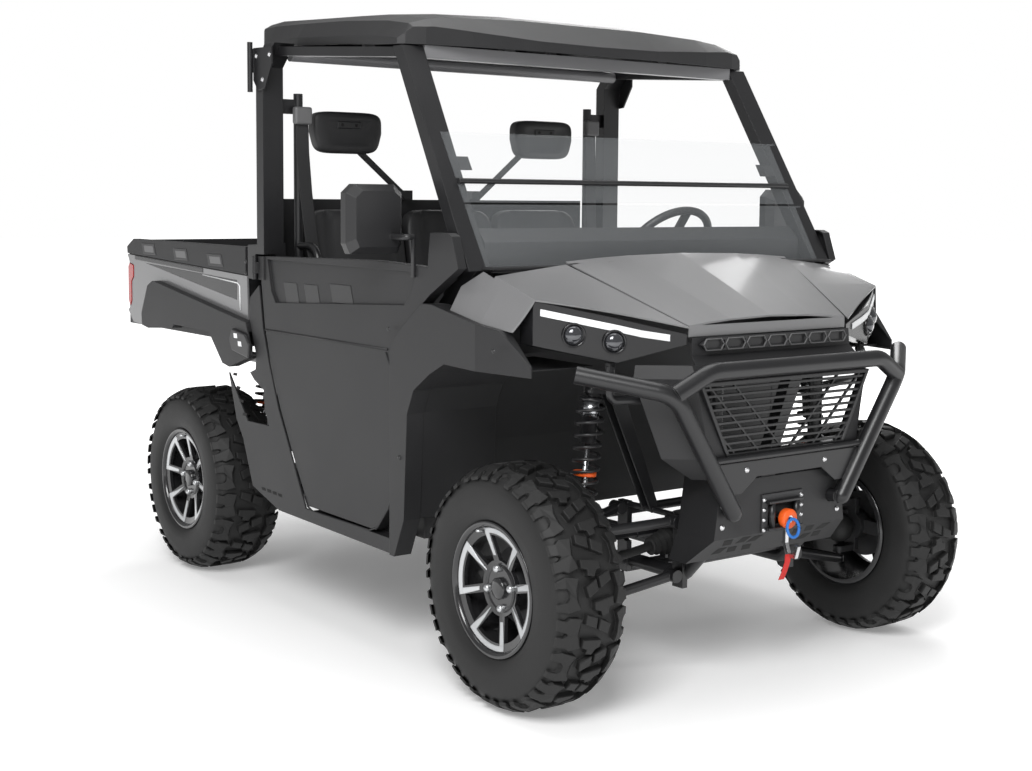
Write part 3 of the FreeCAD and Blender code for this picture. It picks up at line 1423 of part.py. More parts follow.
def make_windscreen():
    edge = fold_bar_radius + seat_gap
    save("windscreen", [lipped(screen_low_z, screen_mid_z - panel_gap),
                        pane(screen_mid_z, screen_fold_z - edge),
                        lipped(screen_fold_z + edge, screen_top_z)])
    y, z = screen_place(screen_fold_z, seat_gap + fold_bar_radius)
    clamps = [cross_tube(screen_half, y, z, fold_bar_radius)]
    inner = pillar_x_at(clamp_z + clamp_height / 2) - pillar_width / 2 - seat_gap
    low_z, high_z = clamp_z - clamp_height / 2, clamp_z + clamp_height / 2
    outline = [screen_place(low_z, 0), screen_place(high_z, 0), screen_place(high_z, -clamp_depth),
               screen_place(low_z, -clamp_depth)]
    clamps += both_sides([slab_x(outline, inner - clamp_width, inner)])
    save("windscreen_clamps", clamps)


def pillar_x_at(z):
    share = (z - pillar_foot_z) / (pillar_head_z - pillar_foot_z)
    return pillar_foot_x + share * (pillar_head_x - pillar_foot_x)


# Cab floor, seats and dashboard

def floor_height():
    return sill_z + sill_radius + seat_gap + floor_wall


def make_floor():
    floor_z = floor_height()
    path = [(axle_front_y + d, floor_z + rise) for d, rise in reversed(toe_line)]
    path[0] = (path[0][0], dash_low_z - seat_gap)
    path.append((axle_front_y + floor_rear_behind_axle, floor_z))
    floor = slab_x(strip(path, -floor_wall), -floor_half, floor_half)
    half = seat_box_half
    front = box((-half, half), (seat_box_front_y, seat_box_front_y + floor_wall),
                (floor_z - floor_wall, seat_box_top_z))
    top = box((-half, half), (seat_box_front_y, seat_box_rear_y),
              (seat_box_top_z - floor_wall, seat_box_top_z))
    save("floor_pan", [fuse([floor, front, top])])


def make_seats():
    base_z = seat_box_top_z + seat_gap
    rear_y = seat_front_y + seat_depth
    base = slab_x([(seat_front_y, base_z), (seat_front_y, base_z + seat_thickness * seat_edge_share),
                   (seat_front_y + seat_thickness / 2, base_z + seat_thickness),
                   (rear_y, base_z + seat_thickness), (rear_y, base_z)], -seat_half, seat_half)
    save("seat_base", [base])
    foot_y = rear_y - seat_back_thickness - seat_back_inset
    foot_z = base_z + seat_thickness + seat_gap
    lean = math.tan(math.radians(seat_back_recline)) * seat_back_height
    top_z = foot_z + seat_back_height
    back = slab_x([(foot_y, foot_z), (foot_y + lean, top_z),
                   (foot_y + lean + seat_back_thickness * seat_edge_share, top_z),
                   (foot_y + seat_back_thickness, foot_z)], -seat_half, seat_half)
    half_w, half_h, half_d = headrest_width / 2, headrest_height / 2, headrest_depth / 2
    outline = [(headrest_x + a * half_w, headrest_z + b * half_h) for a, b in headrest_shares]
    pad = slab_y(outline, headrest_y - half_d, headrest_y + half_d)
    save("seat_backs", [back] + both_sides([pad]))


def make_seat_bars():
    rear = headrest_y + headrest_depth / 2 + seat_gap
    foot_z = back_panel_top_z + seat_gap
    half = headrest_arm_width / 2
    foot = box((headrest_arm_foot_x - half, headrest_arm_foot_x + half),
               (rear, back_panel_y + back_panel_wall),
               (foot_z, foot_z + headrest_arm_width))
    arm = slab_y([(headrest_arm_foot_x - half, foot_z), (headrest_arm_foot_x + half, foot_z),
                  (headrest_x + half, headrest_z), (headrest_x - half, headrest_z)], rear,
                  rear + headrest_arm_wall)
    sill_top = sill_z + sill_radius + seat_gap
    post = rod(point(belt_post_x, belt_post_y, sill_top), point(belt_post_x, belt_post_y,
                                                                belt_post_top_z), belt_post_radius)
    plate = box((belt_post_x, rear_pillar_x - pillar_width / 2 - seat_gap),
                (belt_post_y - belt_plate_wall, belt_post_y),
                (belt_plate_z - belt_plate_height / 2, belt_plate_z + belt_plate_height / 2))
    hip = bent_tube([point(belt_post_x, belt_post_y - belt_post_radius + hip_bar_radius / 2, hip_bar_top_z),
                     point(belt_post_x, hip_bar_front_y, hip_bar_top_z),
                     point(belt_post_x, hip_bar_front_y, sill_top)],
                    hip_bar_radius, hip_bar_bend)
    save("seat_bars", both_sides([fuse([foot, arm]), fuse([post, plate, hip])]))


def make_back_panel():
    half = rear_leg_x - seat_gap
    y = back_panel_y
    panel = box((-half, half), (y, y + back_panel_wall), (back_panel_low_z, back_panel_top_z))
    pillar_y = axle_front_y + rear_pillar_behind_axle
    flange = box((half - back_panel_flange, half), (pillar_y, y + back_panel_wall),
                 (back_panel_low_z, back_flange_top_z))
    low = engine_height + rail_z + rail_radius + panel_gap
    opening = box((-engine_half_width - overrun, engine_half_width + overrun),
                  (y - overrun, y + overrun), (back_panel_low_z - overrun, low + overrun))
    save("cab_back_panel", [fuse([panel] + both_sides([flange])).cut(opening)])


def make_dashboard():
    path = behind(axle_front_y, dash_line)
    body = slab_x(strip(path, -dash_wall), -dash_half, dash_half)
    ends = [slab_x(path, -dash_half, -dash_half + dash_wall), slab_x(path, dash_half - dash_wall, dash_half)]
    centre, along = steering_wheel_centre(), column_direction()
    start = centre + along * (steering_hub_depth + panel_gap)
    column = rod(start, centre + along * (steering_hub_depth + column_length), column_radius)
    stub = rod(centre + along * (spoke_wall + seat_gap), start + along, column_stub_radius)
    save("dashboard", [fuse([body, column, stub] + ends)])


# Doors and mirrors

def make_doors():
    outline = behind(axle_front_y, door_outline)
    shell = tray(outline, door_inner_x, door_outer_x, door_wall)
    band = behind(axle_front_y, door_band)
    pocket = slab_x(inset(band, -door_wall), door_outer_x - door_band_depth - door_wall,
                    door_outer_x - door_wall)
    shell = shell.fuse(pocket).cut(slab_x(band, door_outer_x - door_band_depth, door_outer_x + overrun))
    ear_y = axle_front_y + door_outline[17][0]
    room = box((door_inner_x - overrun, ear_inner_x), (axle_front_y, ear_y + overrun + panel_gap),
               (door_outline[14][1] - overrun, door_outline[16][1] + overrun))
    shell = shell.cut(room)
    hinge_y = axle_front_y + door_hinge_behind_axle
    top_z = door_hinge_low_z + door_hinge_height
    leaf = box((door_outer_x - seat_gap, door_outer_x + door_leaf_wall),
               (hinge_y - door_leaf_length, hinge_y),
               (door_hinge_low_z, top_z))
    knuckle = door_hinge_height / 4 + seat_gap
    barrel_low, barrel_high = door_hinge_low_z + knuckle, top_z - knuckle
    barrel = rod(point(door_hinge_x, hinge_y, barrel_low), point(door_hinge_x, hinge_y, barrel_high),
                 door_knuckle_radius)
    bridge = box((door_outer_x, door_hinge_x), (hinge_y - door_knuckle_radius * 2, hinge_y),
                 (barrel_low, barrel_high))
    clear = door_knuckle_radius + slot_gap
    leaf = leaf.cut(box((door_outer_x - overrun, door_hinge_x + overrun), (hinge_y - clear, hinge_y + clear),
                        (door_hinge_low_z - overrun, top_z + overrun)))
    bore = rod(point(door_hinge_x, hinge_y, door_hinge_low_z - overrun),
               point(door_hinge_x, hinge_y, top_z + overrun),
               door_pin_radius + running_gap)
    door = fuse([shell, leaf, barrel, bridge]).cut(bore)
    save("door_left", [door])
    save("door_right", [mirrored(door)])


def make_mirrors():
    y = axle_front_y + mirror_behind_axle
    half_w, half_h = mirror_width / 2, mirror_height / 2
    outline = [(mirror_x + a * half_w, mirror_z + b * half_h) for a, b in mirror_shares]
    front = [(mirror_x + a * half_w * mirror_taper_share, mirror_z + b * half_h * mirror_taper_share)
             for a, b in mirror_shares]
    housing = skin([[point(x, y - mirror_depth, z) for x, z in front],
                    [point(x, y - mirror_depth / 2, z) for x, z in outline],
                    [point(x, y, z) for x, z in outline]])
    bar_x = door_outer_x + seat_gap
    bar_y = axle_front_y + mirror_bar_behind_axle
    bar = box((bar_x, bar_x + mirror_bar_wall), (bar_y - mirror_bar_width / 2, bar_y + mirror_bar_width / 2),
              (mirror_bar_low_z, mirror_bar_high_z))
    arm_z = mirror_bar_high_z - mirror_arm_radius
    elbow_x = mirror_x - half_w / 2
    arm = bent_tube([point(bar_x + mirror_bar_wall / 2, bar_y, arm_z), point(elbow_x, bar_y, arm_z),
                     point(elbow_x, y - mirror_depth / 2, arm_z)], mirror_arm_radius, mirror_arm_radius * 2)
    mirror = fuse([housing, bar, arm])
    save("mirror_left", [mirror])
    save("mirror_right", [mirrored(mirror)])


# Side panels

def make_side_panels():
    rocker = slab_x(behind(axle_front_y, rocker_line), side_x - side_wall, side_x)
    rear_end = axle_front_y + panel_outline[17][0]
    shelf = box((sill_x + sill_radius + seat_gap, side_x), (axle_front_y + rocker_line[0][0],
                                                            rear_end - overrun),
                (sill_z - shelf_height / 2, sill_z + shelf_height / 2))
    panel = slab_x(behind(axle_front_y, panel_outline), side_x - side_wall, side_x)
    bracket_y = axle_front_y + rear_pillar_behind_axle
    half = panel_bracket_length / 2
    bracket = box((rear_leg_x + rear_leg_width + seat_gap, side_x - side_wall / 2),
                  (bracket_y - half / 2, bracket_y + half),
                  (panel_bracket_z, panel_bracket_z + panel_bracket_height))
    lower = shelf.cut(box((door_inner_x - panel_gap, side_x + overrun),
                          (axle_front_y, axle_front_y + door_outline[6][0]),
                          (sill_z, door_outline[6][1])))
    save("side_panels", both_sides([fuse([rocker, lower, panel, bracket])]))


# Fenders, flares and hood

def fender_row(station):
    distance, inner_x, inner_z, crest_x, crest_z, side_low_x, side_low_z = station
    y = axle_front_y + distance
    outer = [(inner_x, inner_z), (crest_x, crest_z), (side_low_x, side_low_z)]
    lower = [(side_low_x - fender_wall, side_low_z), (crest_x - fender_wall / 2, crest_z - fender_wall),
             (inner_x, inner_z - fender_wall)]
    return [point(x, y, z) for x, z in outer + lower]


def make_fenders():
    body = skin([fender_row(station) for station in fender_stations])
    plan = [(x, axle_front_y + d) for x, d in fender_plan]
    body = body.common(slab_z(plan, liner_line[-1][1], hood_rear_z + overrun))
    body = body.common(slab_x(behind(axle_front_y, fender_side), 0, flare_x))
    save("front_fenders", both_sides([body]))


def make_flares():
    outline = behind(axle_front_y, flare_outline)
    plan = [(x, axle_front_y + distance) for x, distance in flare_plan]
    plan = slab_z(plan, 0, hood_rear_z)
    hollow = slab_x(inset(outline, flare_wall), flare_inner_x - overrun, flare_x)
    hollow = hollow.common(moved(plan, -flare_wall, 0, 0))
    flare = slab_x(outline, flare_inner_x, flare_x).common(plan).cut(hollow)
    bracket_y = axle_front_y + flare_bracket_behind_axle
    bracket = box((cowl_post_x + cowl_post_width + seat_gap, flare_x - flare_wall / 2),
                  (bracket_y, bracket_y + flare_bracket_length),
                  (flare_bracket_z, flare_bracket_z + flare_bracket_height))
    liner = slab_x(strip(behind(axle_front_y, liner_line), -liner_wall), liner_inner_x,
                   flare_inner_x + flare_wall)
    save("front_flares", both_sides([fuse([flare, bracket, liner])]))


def hood_row(y, half, z, crown):
    return [point(a * half, y, z + crown * (1 - a * a)) for a in hood_crown_shares]


def make_hood():
    rows = []
    for y, half, z in ((hood_front_y, hood_front_half, hood_front_z - hood_crown),
                       (hood_rear_y, hood_rear_half, hood_rear_z - hood_crown)):
        upper = hood_row(y, half, z, hood_crown)
        lower = [p - point(0, 0, hood_wall) for p in reversed(upper)]
        rows.append(upper + lower)
    top = skin(rows)
    lip = box((-hood_front_half, hood_front_half), (hood_front_y, hood_front_y + hood_wall),
              (hood_front_z - hood_crown - hood_lip, hood_front_z - hood_crown))
    y, z = hood_hinge()
    half = hood_tab_half
    tabs = [box((x - half, x + half), (y - half, y + half), (z - half, z + half)) for x in (-hood_tab_x,
                                                                                            hood_tab_x)]
    hood = fuse([top, lip] + tabs)
    bore = cross_tube(hood_rear_half, y, z, hood_pin_radius + running_gap)
    save("hood", [hood.cut(bore)])


def hood_hinge():
    """The (y, z) of the hood's hinge line."""
    return axle_front_y + hood_hinge_behind_axle, hood_hinge_z


def make_cowl():
    front, side_rear, rear = (axle_front_y + d for d in (cowl_front_behind_axle, cowl_side_rear_behind_axle,
                                                         cowl_rear_behind_axle))
    half, inner = cowl_half, cowl_inner_half
    plan = [(-half, front), (half, front), (half, side_rear), (inner, side_rear), (inner, rear),
            (-inner, rear), (-inner, side_rear), (-half, side_rear)]
    panel = slab_z(plan, cowl_top_z - cowl_wall, cowl_top_z)
    post_top = cowl_post_top_z + seat_gap
    foot = box((cowl_post_x, inner), (rear - overrun, rear), (post_top, cowl_top_z - cowl_wall / 2))
    y, z = hood_hinge()
    pieces = [panel] + both_sides([foot])
    first = hood_tab_x - hood_tab_half - hinge_cheek_gap - hinge_cheek
    second = hood_tab_x + hood_tab_half + hinge_cheek_gap
    radius, low = hood_pin_radius, cowl_top_z - cowl_wall
    cheek = [(y - radius, low), (y - radius, z + radius / 2), (y + radius / 2, z + radius / 2),
             (y + radius, z), (y + radius, low + cowl_wall / 2), (front + overrun, low + cowl_wall / 2),
             (front + overrun, low)]
    for x in (first, second):
        pieces += both_sides([slab_x(cheek, x, x + hinge_cheek)])
    pin = rod(point(first, y, z), point(second + hinge_cheek, y, z), hood_pin_radius)
    save("cowl", [fuse(pieces + both_sides([pin]))])


# Nose

def fascia_row(z, front, edge_half, wing_half, wing_back):
    y, wing_y = axle_front_y + front, axle_front_y + wing_back
    outer = [(-wing_half, wing_y), (-edge_half, y), (edge_half, y), (wing_half, wing_y)]
    inner = [(x - math.copysign(fascia_wall / 2, x), back + fascia_wall) for x, back in reversed(outer)]
    return [point(x, back, z) for x, back in outer + inner]


def make_fascia():
    shell = skin([fascia_row(*row) for row in fascia_rows])
    brow = []
    for z, front, half in brow_rows:
        y = axle_front_y + front
        brow.append([point(-half, y, z), point(half, y, z), point(half, y + fascia_wall, z),
                     point(-half, y + fascia_wall, z)])
    window = slab_y(grille_outline(0), front_y - overrun, axle_front_y)
    save("fascia", [fuse([shell.cut(window), skin(brow)])])


def grille_outline(gap):
    """The main grille's outline, drawn smaller by a gap."""
    outline = [(-grille_top_half, grille_top_z), (grille_top_half, grille_top_z),
               (grille_low_half, grille_low_z), (-grille_low_half, grille_low_z)]
    return inset(outline, gap) if gap else outline


def make_grilles():
    y = axle_front_y + fascia_rows[2][1] - fascia_wall
    back = y + grille_depth * 2
    inside = slab_y(grille_outline(seat_gap), y, back)
    frame = inside.cut(slab_y(grille_outline(grille_bar * 1.5), y - overrun, back + overrun))
    bars = []
    step = (grille_top_z - grille_low_z) / grille_rows
    for index in range(1, grille_rows):
        z = grille_low_z + step * index
        bars.append(box((-grille_top_half, grille_top_half), (y + grille_bar / 2, y + grille_depth),
                        (z - grille_bar / 2, z + grille_bar / 2)))
    height = grille_top_z - grille_low_z
    for index in range(grille_diagonals):
        low_x = grille_low_half * 2 * index / grille_diagonals
        for side in (-1, 1):
            first, second = side * (low_x + grille_bar), side * (low_x + grille_bar + height)
            bars.append(slab_y([(first - grille_bar / 2, grille_low_z),
                                (first + grille_bar / 2, grille_low_z),
                                (second + grille_bar / 2, grille_top_z),
                                (second - grille_bar / 2, grille_top_z)],
                               y + grille_bar / 2, y + grille_depth))
    main = fuse([frame] + [bar.common(inside) for bar in bars])
    half, low, high = upper_grille_half, upper_grille_low_z, upper_grille_top_z
    middle, front = (low + high) / 2, axle_front_y + upper_grille_front
    tip = high - low
    plate = slab_y([(-half, middle), (-half + tip, high), (half - tip, high), (half, middle),
                    (half - tip, low), (-half + tip, low)], front, front + grille_depth)
    pitch = (half - tip / 2) * 2 / upper_grille_cells
    for index in range(upper_grille_cells):
        x = pitch * (index - (upper_grille_cells - 1) / 2)
        w = pitch / 2 - grille_bar
        plate = plate.cut(box((x - w, x + w), (front - overrun, front + grille_depth / 2),
                              (low + grille_bar, high - grille_bar)))
    save("grilles", [main, plate])


def make_headlamps():
    outer_y, inner_y = axle_front_y + lamp_outer_behind_axle, axle_front_y + lamp_inner_behind_axle
    middle = ((lamp_inner_x + lamp_outer_x) / 2, (inner_y + outer_y) / 2 - lamp_bow,
              (lamp_inner_top_z + lamp_outer_top_z) / 2, lamp_height)
    rows = []
    for x, y, top, drop in ((lamp_inner_x, inner_y, lamp_inner_top_z, lamp_tip_height), middle,
                            (lamp_outer_x, outer_y, lamp_outer_top_z, lamp_height)):
        rows.append([point(x, y, top), point(x, y + lamp_depth, top), point(x, y + lamp_depth, top - drop),
                     point(x, y, top - drop)])
    save("headlamps", both_sides([skin(rows)]))


def make_skid():
    rows = []
    back = axle_front_y + skid_back
    for z, front, half in skid_rows:
        y = axle_front_y + front
        rows.append([point(-half, back, z), point(-half, y, z), point(half, y, z), point(half, back, z),
                     point(half - skid_wall, back, z), point(half - skid_wall, y + skid_wall, z),
                     point(-half + skid_wall, y + skid_wall, z), point(-half + skid_wall, back, z)])
    plate = skin(rows)
    window = box((-winch_window_half, winch_window_half), (front_y, rail_front_y - overrun),
                 (winch_low_z, winch_high_z))
    holes = []
    for side in (-1, 1):
        holes.append(rod(point(side * rail_x, front_y, guard_low_z),
                         point(side * rail_x, rail_front_y, guard_low_z),
                         guard_strut_radius + slot_gap))
    save("nose_skid", [plate.cut(window).cut(Part.makeCompound(holes))])


def make_guard():
    side_y, low_y = guard_y + guard_side_back, guard_y + guard_low_back
    top = [point(-guard_side_x, side_y, guard_side_z), point(-guard_top_half, guard_y, guard_top_z),
           point(guard_top_half, guard_y, guard_top_z), point(guard_side_x, side_y, guard_side_z)]
    pieces = [bent_tube(top, guard_radius, guard_bend)]
    for side in (-1, 1):
        leg = [point(side * guard_wing_x, guard_y + guard_wing_back, guard_wing_z),
               point(side * guard_side_x, side_y, guard_side_z),
               point(side * guard_low_half, low_y, guard_low_z)]
        pieces.append(bent_tube(leg, guard_radius, guard_bend))
        pieces.append(rod(point(side * rail_x, low_y, guard_low_z),
                          point(side * rail_x, rail_front_y - rail_radius - seat_gap, guard_low_z),
                          guard_strut_radius))
        pieces.append(Part.makeSphere(guard_radius, point(side * guard_low_half, low_y, guard_low_z)))
    share = (guard_bar_z - guard_low_z) / (guard_side_z - guard_low_z)
    half = guard_low_half + share * (guard_side_x - guard_low_half)
    pieces.append(cross_tube(half, low_y, guard_bar_z, guard_bar_radius))
    foot, notch = guard_plate_foot_half, guard_low_half - guard_plate_notch
    right = [(half, guard_plate_top_z), (guard_low_half + foot, guard_plate_low_z),
             (guard_low_half - foot, guard_plate_low_z), (notch, guard_plate_mid_z)]
    plate = right + [(-x, z) for x, z in reversed(right)]
    pieces.append(slab_y(plate, low_y, low_y + guard_plate_wall))
    save("bumper_guard", [fuse(pieces)])


def make_winch():
    plate_y = rail_front_y - tower_plate - seat_gap
    z = (winch_low_z + winch_high_z) / 2
    drum_y = plate_y - winch_drum_radius
    drum = cross_tube(winch_half, drum_y, z, winch_drum_radius)
    front = axle_front_y + skid_rows[1][1] - skid_wall
    half = winch_window_half - seat_gap
    lead = box((-half, half), (front, front + fairlead_wall), (winch_low_z + seat_gap,
                                                               winch_high_z - seat_gap))
    lead = lead.cut(box((-fairlead_slot_half, fairlead_slot_half), (front - overrun, front + overrun),
                        (fairlead_slot_low_z, fairlead_slot_high_z)))
    save("winch", [drum, lead])
    rear = front - stopper_gap
    stopper = rod(point(0, rear, stopper_z), point(0, rear - stopper_length, stopper_z), stopper_radius)
    rise = z - stopper_z - rope_radius
    touch_y = drum_y - math.sqrt(winch_drum_radius ** 2 - rise ** 2) - seat_gap
    rope = rod(point(0, rear, stopper_z), point(0, touch_y, stopper_z), rope_radius)
    middle = rear - stopper_length / 2
    path = [(middle + a * hook_length / 2, stopper_z - stopper_radius / 2 + b * hook_length) for a,
            b in hook_line_shares]
    hook = slab_x(strip(path, hook_wall), -hook_wall / 2, hook_wall / 2)
    save("winch_hook", [fuse([stopper, rope, hook])])


# Cargo bed

def tailgate_hinge():
    """The (y, z) of the tailgate's hinge line."""
    return axle_rear_y + gate_axis_behind_axle, gate_axis_z


def bed_cheeks():
    """The bed's two plates either side of each frame lug."""
    y = axle_rear_y + bed_hinge_behind_axle
    half = bed_lug_depth / 2
    first = bed_rail_x - bed_lug_half - bed_cheek_gap - bed_cheek
    second = bed_rail_x + bed_lug_half + bed_cheek_gap
    return [box((x, x + bed_cheek), (y - half, y + half), (bed_hinge_z - half, bed_floor_z - bed_floor_wall))
            for x in (first, second)]


def tipping_room(inner_x):
    """The space beside the rear side panel, which the tipping bed's flare keeps clear."""
    y, reach = axle_rear_y + bed_hinge_behind_axle, side_x + panel_gap
    corner_y, corner_z = behind(axle_front_y, panel_outline)[2]
    radius = math.hypot(y - corner_y, corner_z - bed_hinge_z) - panel_gap
    room = box((inner_x, reach), (corner_y - overrun * 2, y), (bed_hinge_z, bed_top_z))
    return room.cut(rod(point(inner_x, y, bed_hinge_z), point(reach, y, bed_hinge_z), radius))


def make_bed():
    front, rear = axle_rear_y + bed_front, axle_rear_y + bed_rear
    floor_low, floor_rear = bed_floor_z - bed_floor_wall, axle_rear_y + bed_floor_rear
    gate_y, gate_z = tailgate_hinge()
    outer, inner = tub_outer_x, tub_outer_x - tub_wall
    wall_rear = rear - panel_gap / 2
    floor = box((-outer, outer), (front, floor_rear), (floor_low, bed_floor_z))
    head = box((-outer, outer), (front, front + tub_wall), (floor_low, bed_top_z))
    wall = box((inner, outer), (front, wall_rear), (floor_low, bed_top_z))
    wall = wall.cut(box((inner - overrun, outer + overrun), (axle_rear_y + bed_rail_line[3][0],
                                                             rear + overrun),
                        (bed_rail_line[2][1], bed_top_z + overrun)))
    rail = slab_x(behind(axle_rear_y, bed_rail_line), outer - tub_wall / 2, bed_outer_x)
    pin_hole = rod(point(inner - overrun, gate_y, gate_z), point(inner + gate_pin_length + seat_gap,
                                                                 gate_y, gate_z),
                   gate_pin_radius + running_gap)
    tub = fuse([floor, head] + both_sides([fuse([wall, rail]).cut(pin_hole)] + bed_cheeks()))
    bore = cross_tube(bed_outer_x, axle_rear_y + bed_hinge_behind_axle, bed_hinge_z,
                      bed_pin_radius + running_gap)
    save("bed_tub", [tub.cut(bore)])
    panel = slab_x(behind(axle_rear_y, bed_panel_outline), outer + seat_gap, bed_outer_x)
    save("bed_side_panels", both_sides([panel]))
    flare = tray(behind(axle_rear_y, bed_flare_outline), outer + seat_gap, bed_flare_x, bed_flare_wall)
    clear = slab_x(behind(axle_rear_y, bed_panel_outline), outer, bed_outer_x + seat_gap)
    save("bed_flares", both_sides([flare.cut(clear).cut(tipping_room(outer))]))
    lamp = slab_x(behind(axle_rear_y, tail_lamp_outline), outer + seat_gap, outer + seat_gap + tail_lamp_wall)
    save("tail_lamps", both_sides([lamp]))
    half_wall = gate_wall / 2
    gate = box((-gate_half, gate_half), (gate_y - half_wall, gate_y + half_wall),
               (gate_z, bed_top_z - panel_gap))
    foot = cross_tube(gate_half, gate_y, gate_z, half_wall)
    rib = box((-gate_rib_half, gate_rib_half), (gate_y, axle_rear_y + rear_overhang),
              (gate_rib_low_z, gate_rib_high_z))
    pins = cross_tube(inner + gate_pin_length, gate_y, gate_z, gate_pin_radius)
    save("tailgate", [fuse([gate, foot, rib, pins])])


make_wheels()
make_knuckles()
make_arms()
make_dampers()
make_half_shafts()
make_tie_rods()
make_steering_wheel()
make_frame()
make_drivetrain()
make_muffler()
make_cage()
make_roof()
make_windscreen()
make_floor()
make_seats()
make_seat_bars()
make_back_panel()
make_dashboard()
make_doors()
make_mirrors()
make_side_panels()
make_fenders()
make_flares()
make_hood()
make_cowl()
make_fascia()
make_grilles()
make_headlamps()
make_skid()
make_guard()
make_winch()
make_bed()
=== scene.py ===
"""Looks of a side by side utility vehicle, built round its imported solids."""
import math
import bpy
import bmesh
from mathutils import Matrix, Vector


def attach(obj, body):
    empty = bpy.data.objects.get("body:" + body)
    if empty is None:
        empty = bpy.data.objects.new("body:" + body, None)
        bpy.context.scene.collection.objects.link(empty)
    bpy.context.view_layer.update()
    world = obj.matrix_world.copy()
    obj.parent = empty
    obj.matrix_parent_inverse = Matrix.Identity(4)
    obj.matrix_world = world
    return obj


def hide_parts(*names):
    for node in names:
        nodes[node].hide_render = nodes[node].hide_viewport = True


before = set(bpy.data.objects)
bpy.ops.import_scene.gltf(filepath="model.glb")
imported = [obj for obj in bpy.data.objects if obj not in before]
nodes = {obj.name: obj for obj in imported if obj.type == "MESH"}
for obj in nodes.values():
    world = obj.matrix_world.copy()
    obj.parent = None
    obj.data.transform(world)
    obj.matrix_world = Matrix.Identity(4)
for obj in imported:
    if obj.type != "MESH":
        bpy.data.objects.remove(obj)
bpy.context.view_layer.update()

# Camera, fitted to the photograph's 1032 by 771 frame
photo_width, photo_height = 1032, 771
focal_pixels = 1547.47
principal_point = (557.42, 336.15)
camera_place = Vector((-3.2252, -4.5044, 1.4257))
camera_target = Vector((0.129, -0.1928, 0.925))
camera_roll = 0.59

# Driving sizes, in metres
axle_front_y, axle_rear_y = -1.1105, 0.9125
axle_z = tyre_radius = 0.343
front_lip_x, rear_lip_x = 0.810, 0.798
front_tyre_width, rear_tyre_width = 0.234, 0.260
lip_radius = 0.190
lip_overhang = 0.008
axles = (("front", axle_front_y, front_lip_x, front_tyre_width),
         ("rear", axle_rear_y, rear_lip_x, rear_tyre_width))
left_first = (("left", 1), ("right", -1))
right_first = (("right", -1), ("left", 1))
straight_ahead = (0, -1, 0)

# Outer faces of bed, doors and side panels, as distances from the middle
bed_side_x, door_x, side_panel_x = 0.765, 0.780, 0.783


# Shader sockets and materials

edge_radius = 0.003


class Value:
    """A node's output, on which Python's operators add Math nodes."""

    def __init__(self, finish, socket):
        self.finish, self.socket = finish, socket

    def math(self, operation, first, second):
        return self.finish.node("ShaderNodeMath", {"operation": operation}, {0: first, 1: second})

    def __add__(self, other):
        return self.math("ADD", self, other)

    __radd__ = __add__

    def __sub__(self, other):
        return self.math("SUBTRACT", self, other)

    def __rsub__(self, other):
        return self.math("SUBTRACT", other, self)

    def __mul__(self, other):
        return self.math("MULTIPLY", self, other)

    __rmul__ = __mul__


class Finish:
    """A material whose shader sockets take numbers, colours or links."""

    def __init__(self, name, colour, roughness, **sockets):
        self.material = bpy.data.materials.new(name)
        self.material.use_nodes = True
        self.tree = self.material.node_tree
        self.shader = self.tree.nodes["Principled BSDF"]
        self.set("Base Color", colour)
        self.set("Roughness", roughness)
        for socket, value in sockets.items():
            self.set(socket.replace("_", " "), value)

    def feed(self, socket, value):
        if isinstance(value, Value):
            self.tree.links.new(value.socket, socket)
        elif isinstance(value, tuple) and len(value) == 3 and socket.type == "RGBA":
            socket.default_value = (*value, 1)
        else:
            socket.default_value = value

    def set(self, socket, value):
        self.feed(self.shader.inputs[socket], value)

    def node(self, kind, settings=(), inputs=(), output=0):
        made = self.tree.nodes.new(kind)
        for key, value in dict(settings).items():
            setattr(made, key, value)
        for key, value in dict(inputs).items():
            self.feed(made.inputs[key], value)
        return Value(self, made.outputs[output])

    def place(self):
        return self.node("ShaderNodeTexCoord", output="Object")

    def noise(self, scale, detail=2.0, place=None):
        return self.node("ShaderNodeTexNoise", {}, {"Vector": place or self.place(), "Scale": scale,
                                                    "Detail": detail}, "Fac")

    def mix(self, factor, first, second):
        return self.node("ShaderNodeMix", {"data_type": "RGBA"}, {0: factor, 6: first, 7: second}, 2)

    def parts(self):
        """The object coordinates as three values."""
        place = self.place()
        return [self.node("ShaderNodeSeparateXYZ", {}, {0: place}, axis) for axis in range(3)]

    def bump(self, height, depth, strength=1.0):
        """A fine relief, and edges that catch the light as rounded ones do."""
        rounded = self.node("ShaderNodeBevel", {"samples": 4}, {"Radius": edge_radius})
        self.set("Normal", self.node("ShaderNodeBump", {}, {"Strength": strength, "Distance": depth,
                                                            "Height": height, "Normal": rounded}))


def shade(colour, share):
    return tuple(channel * share for channel in colour)


def grained(name, colour, roughness, grain=900.0, depth=0.0004, variation=0.25, **sockets):
    """A moulded plastic or coat with a fine grain and a slow change of tone."""
    made = Finish(name, colour, roughness, **sockets)
    slow = made.noise(6.0, 4.0)
    fine = made.noise(grain, 2.0)
    made.set("Base Color", made.mix(slow, shade(colour, 1 - variation), shade(colour, 1 + variation)))
    made.set("Roughness", roughness + (slow - 0.5) * 0.12)
    made.bump(fine, depth, 0.6)
    return made.material


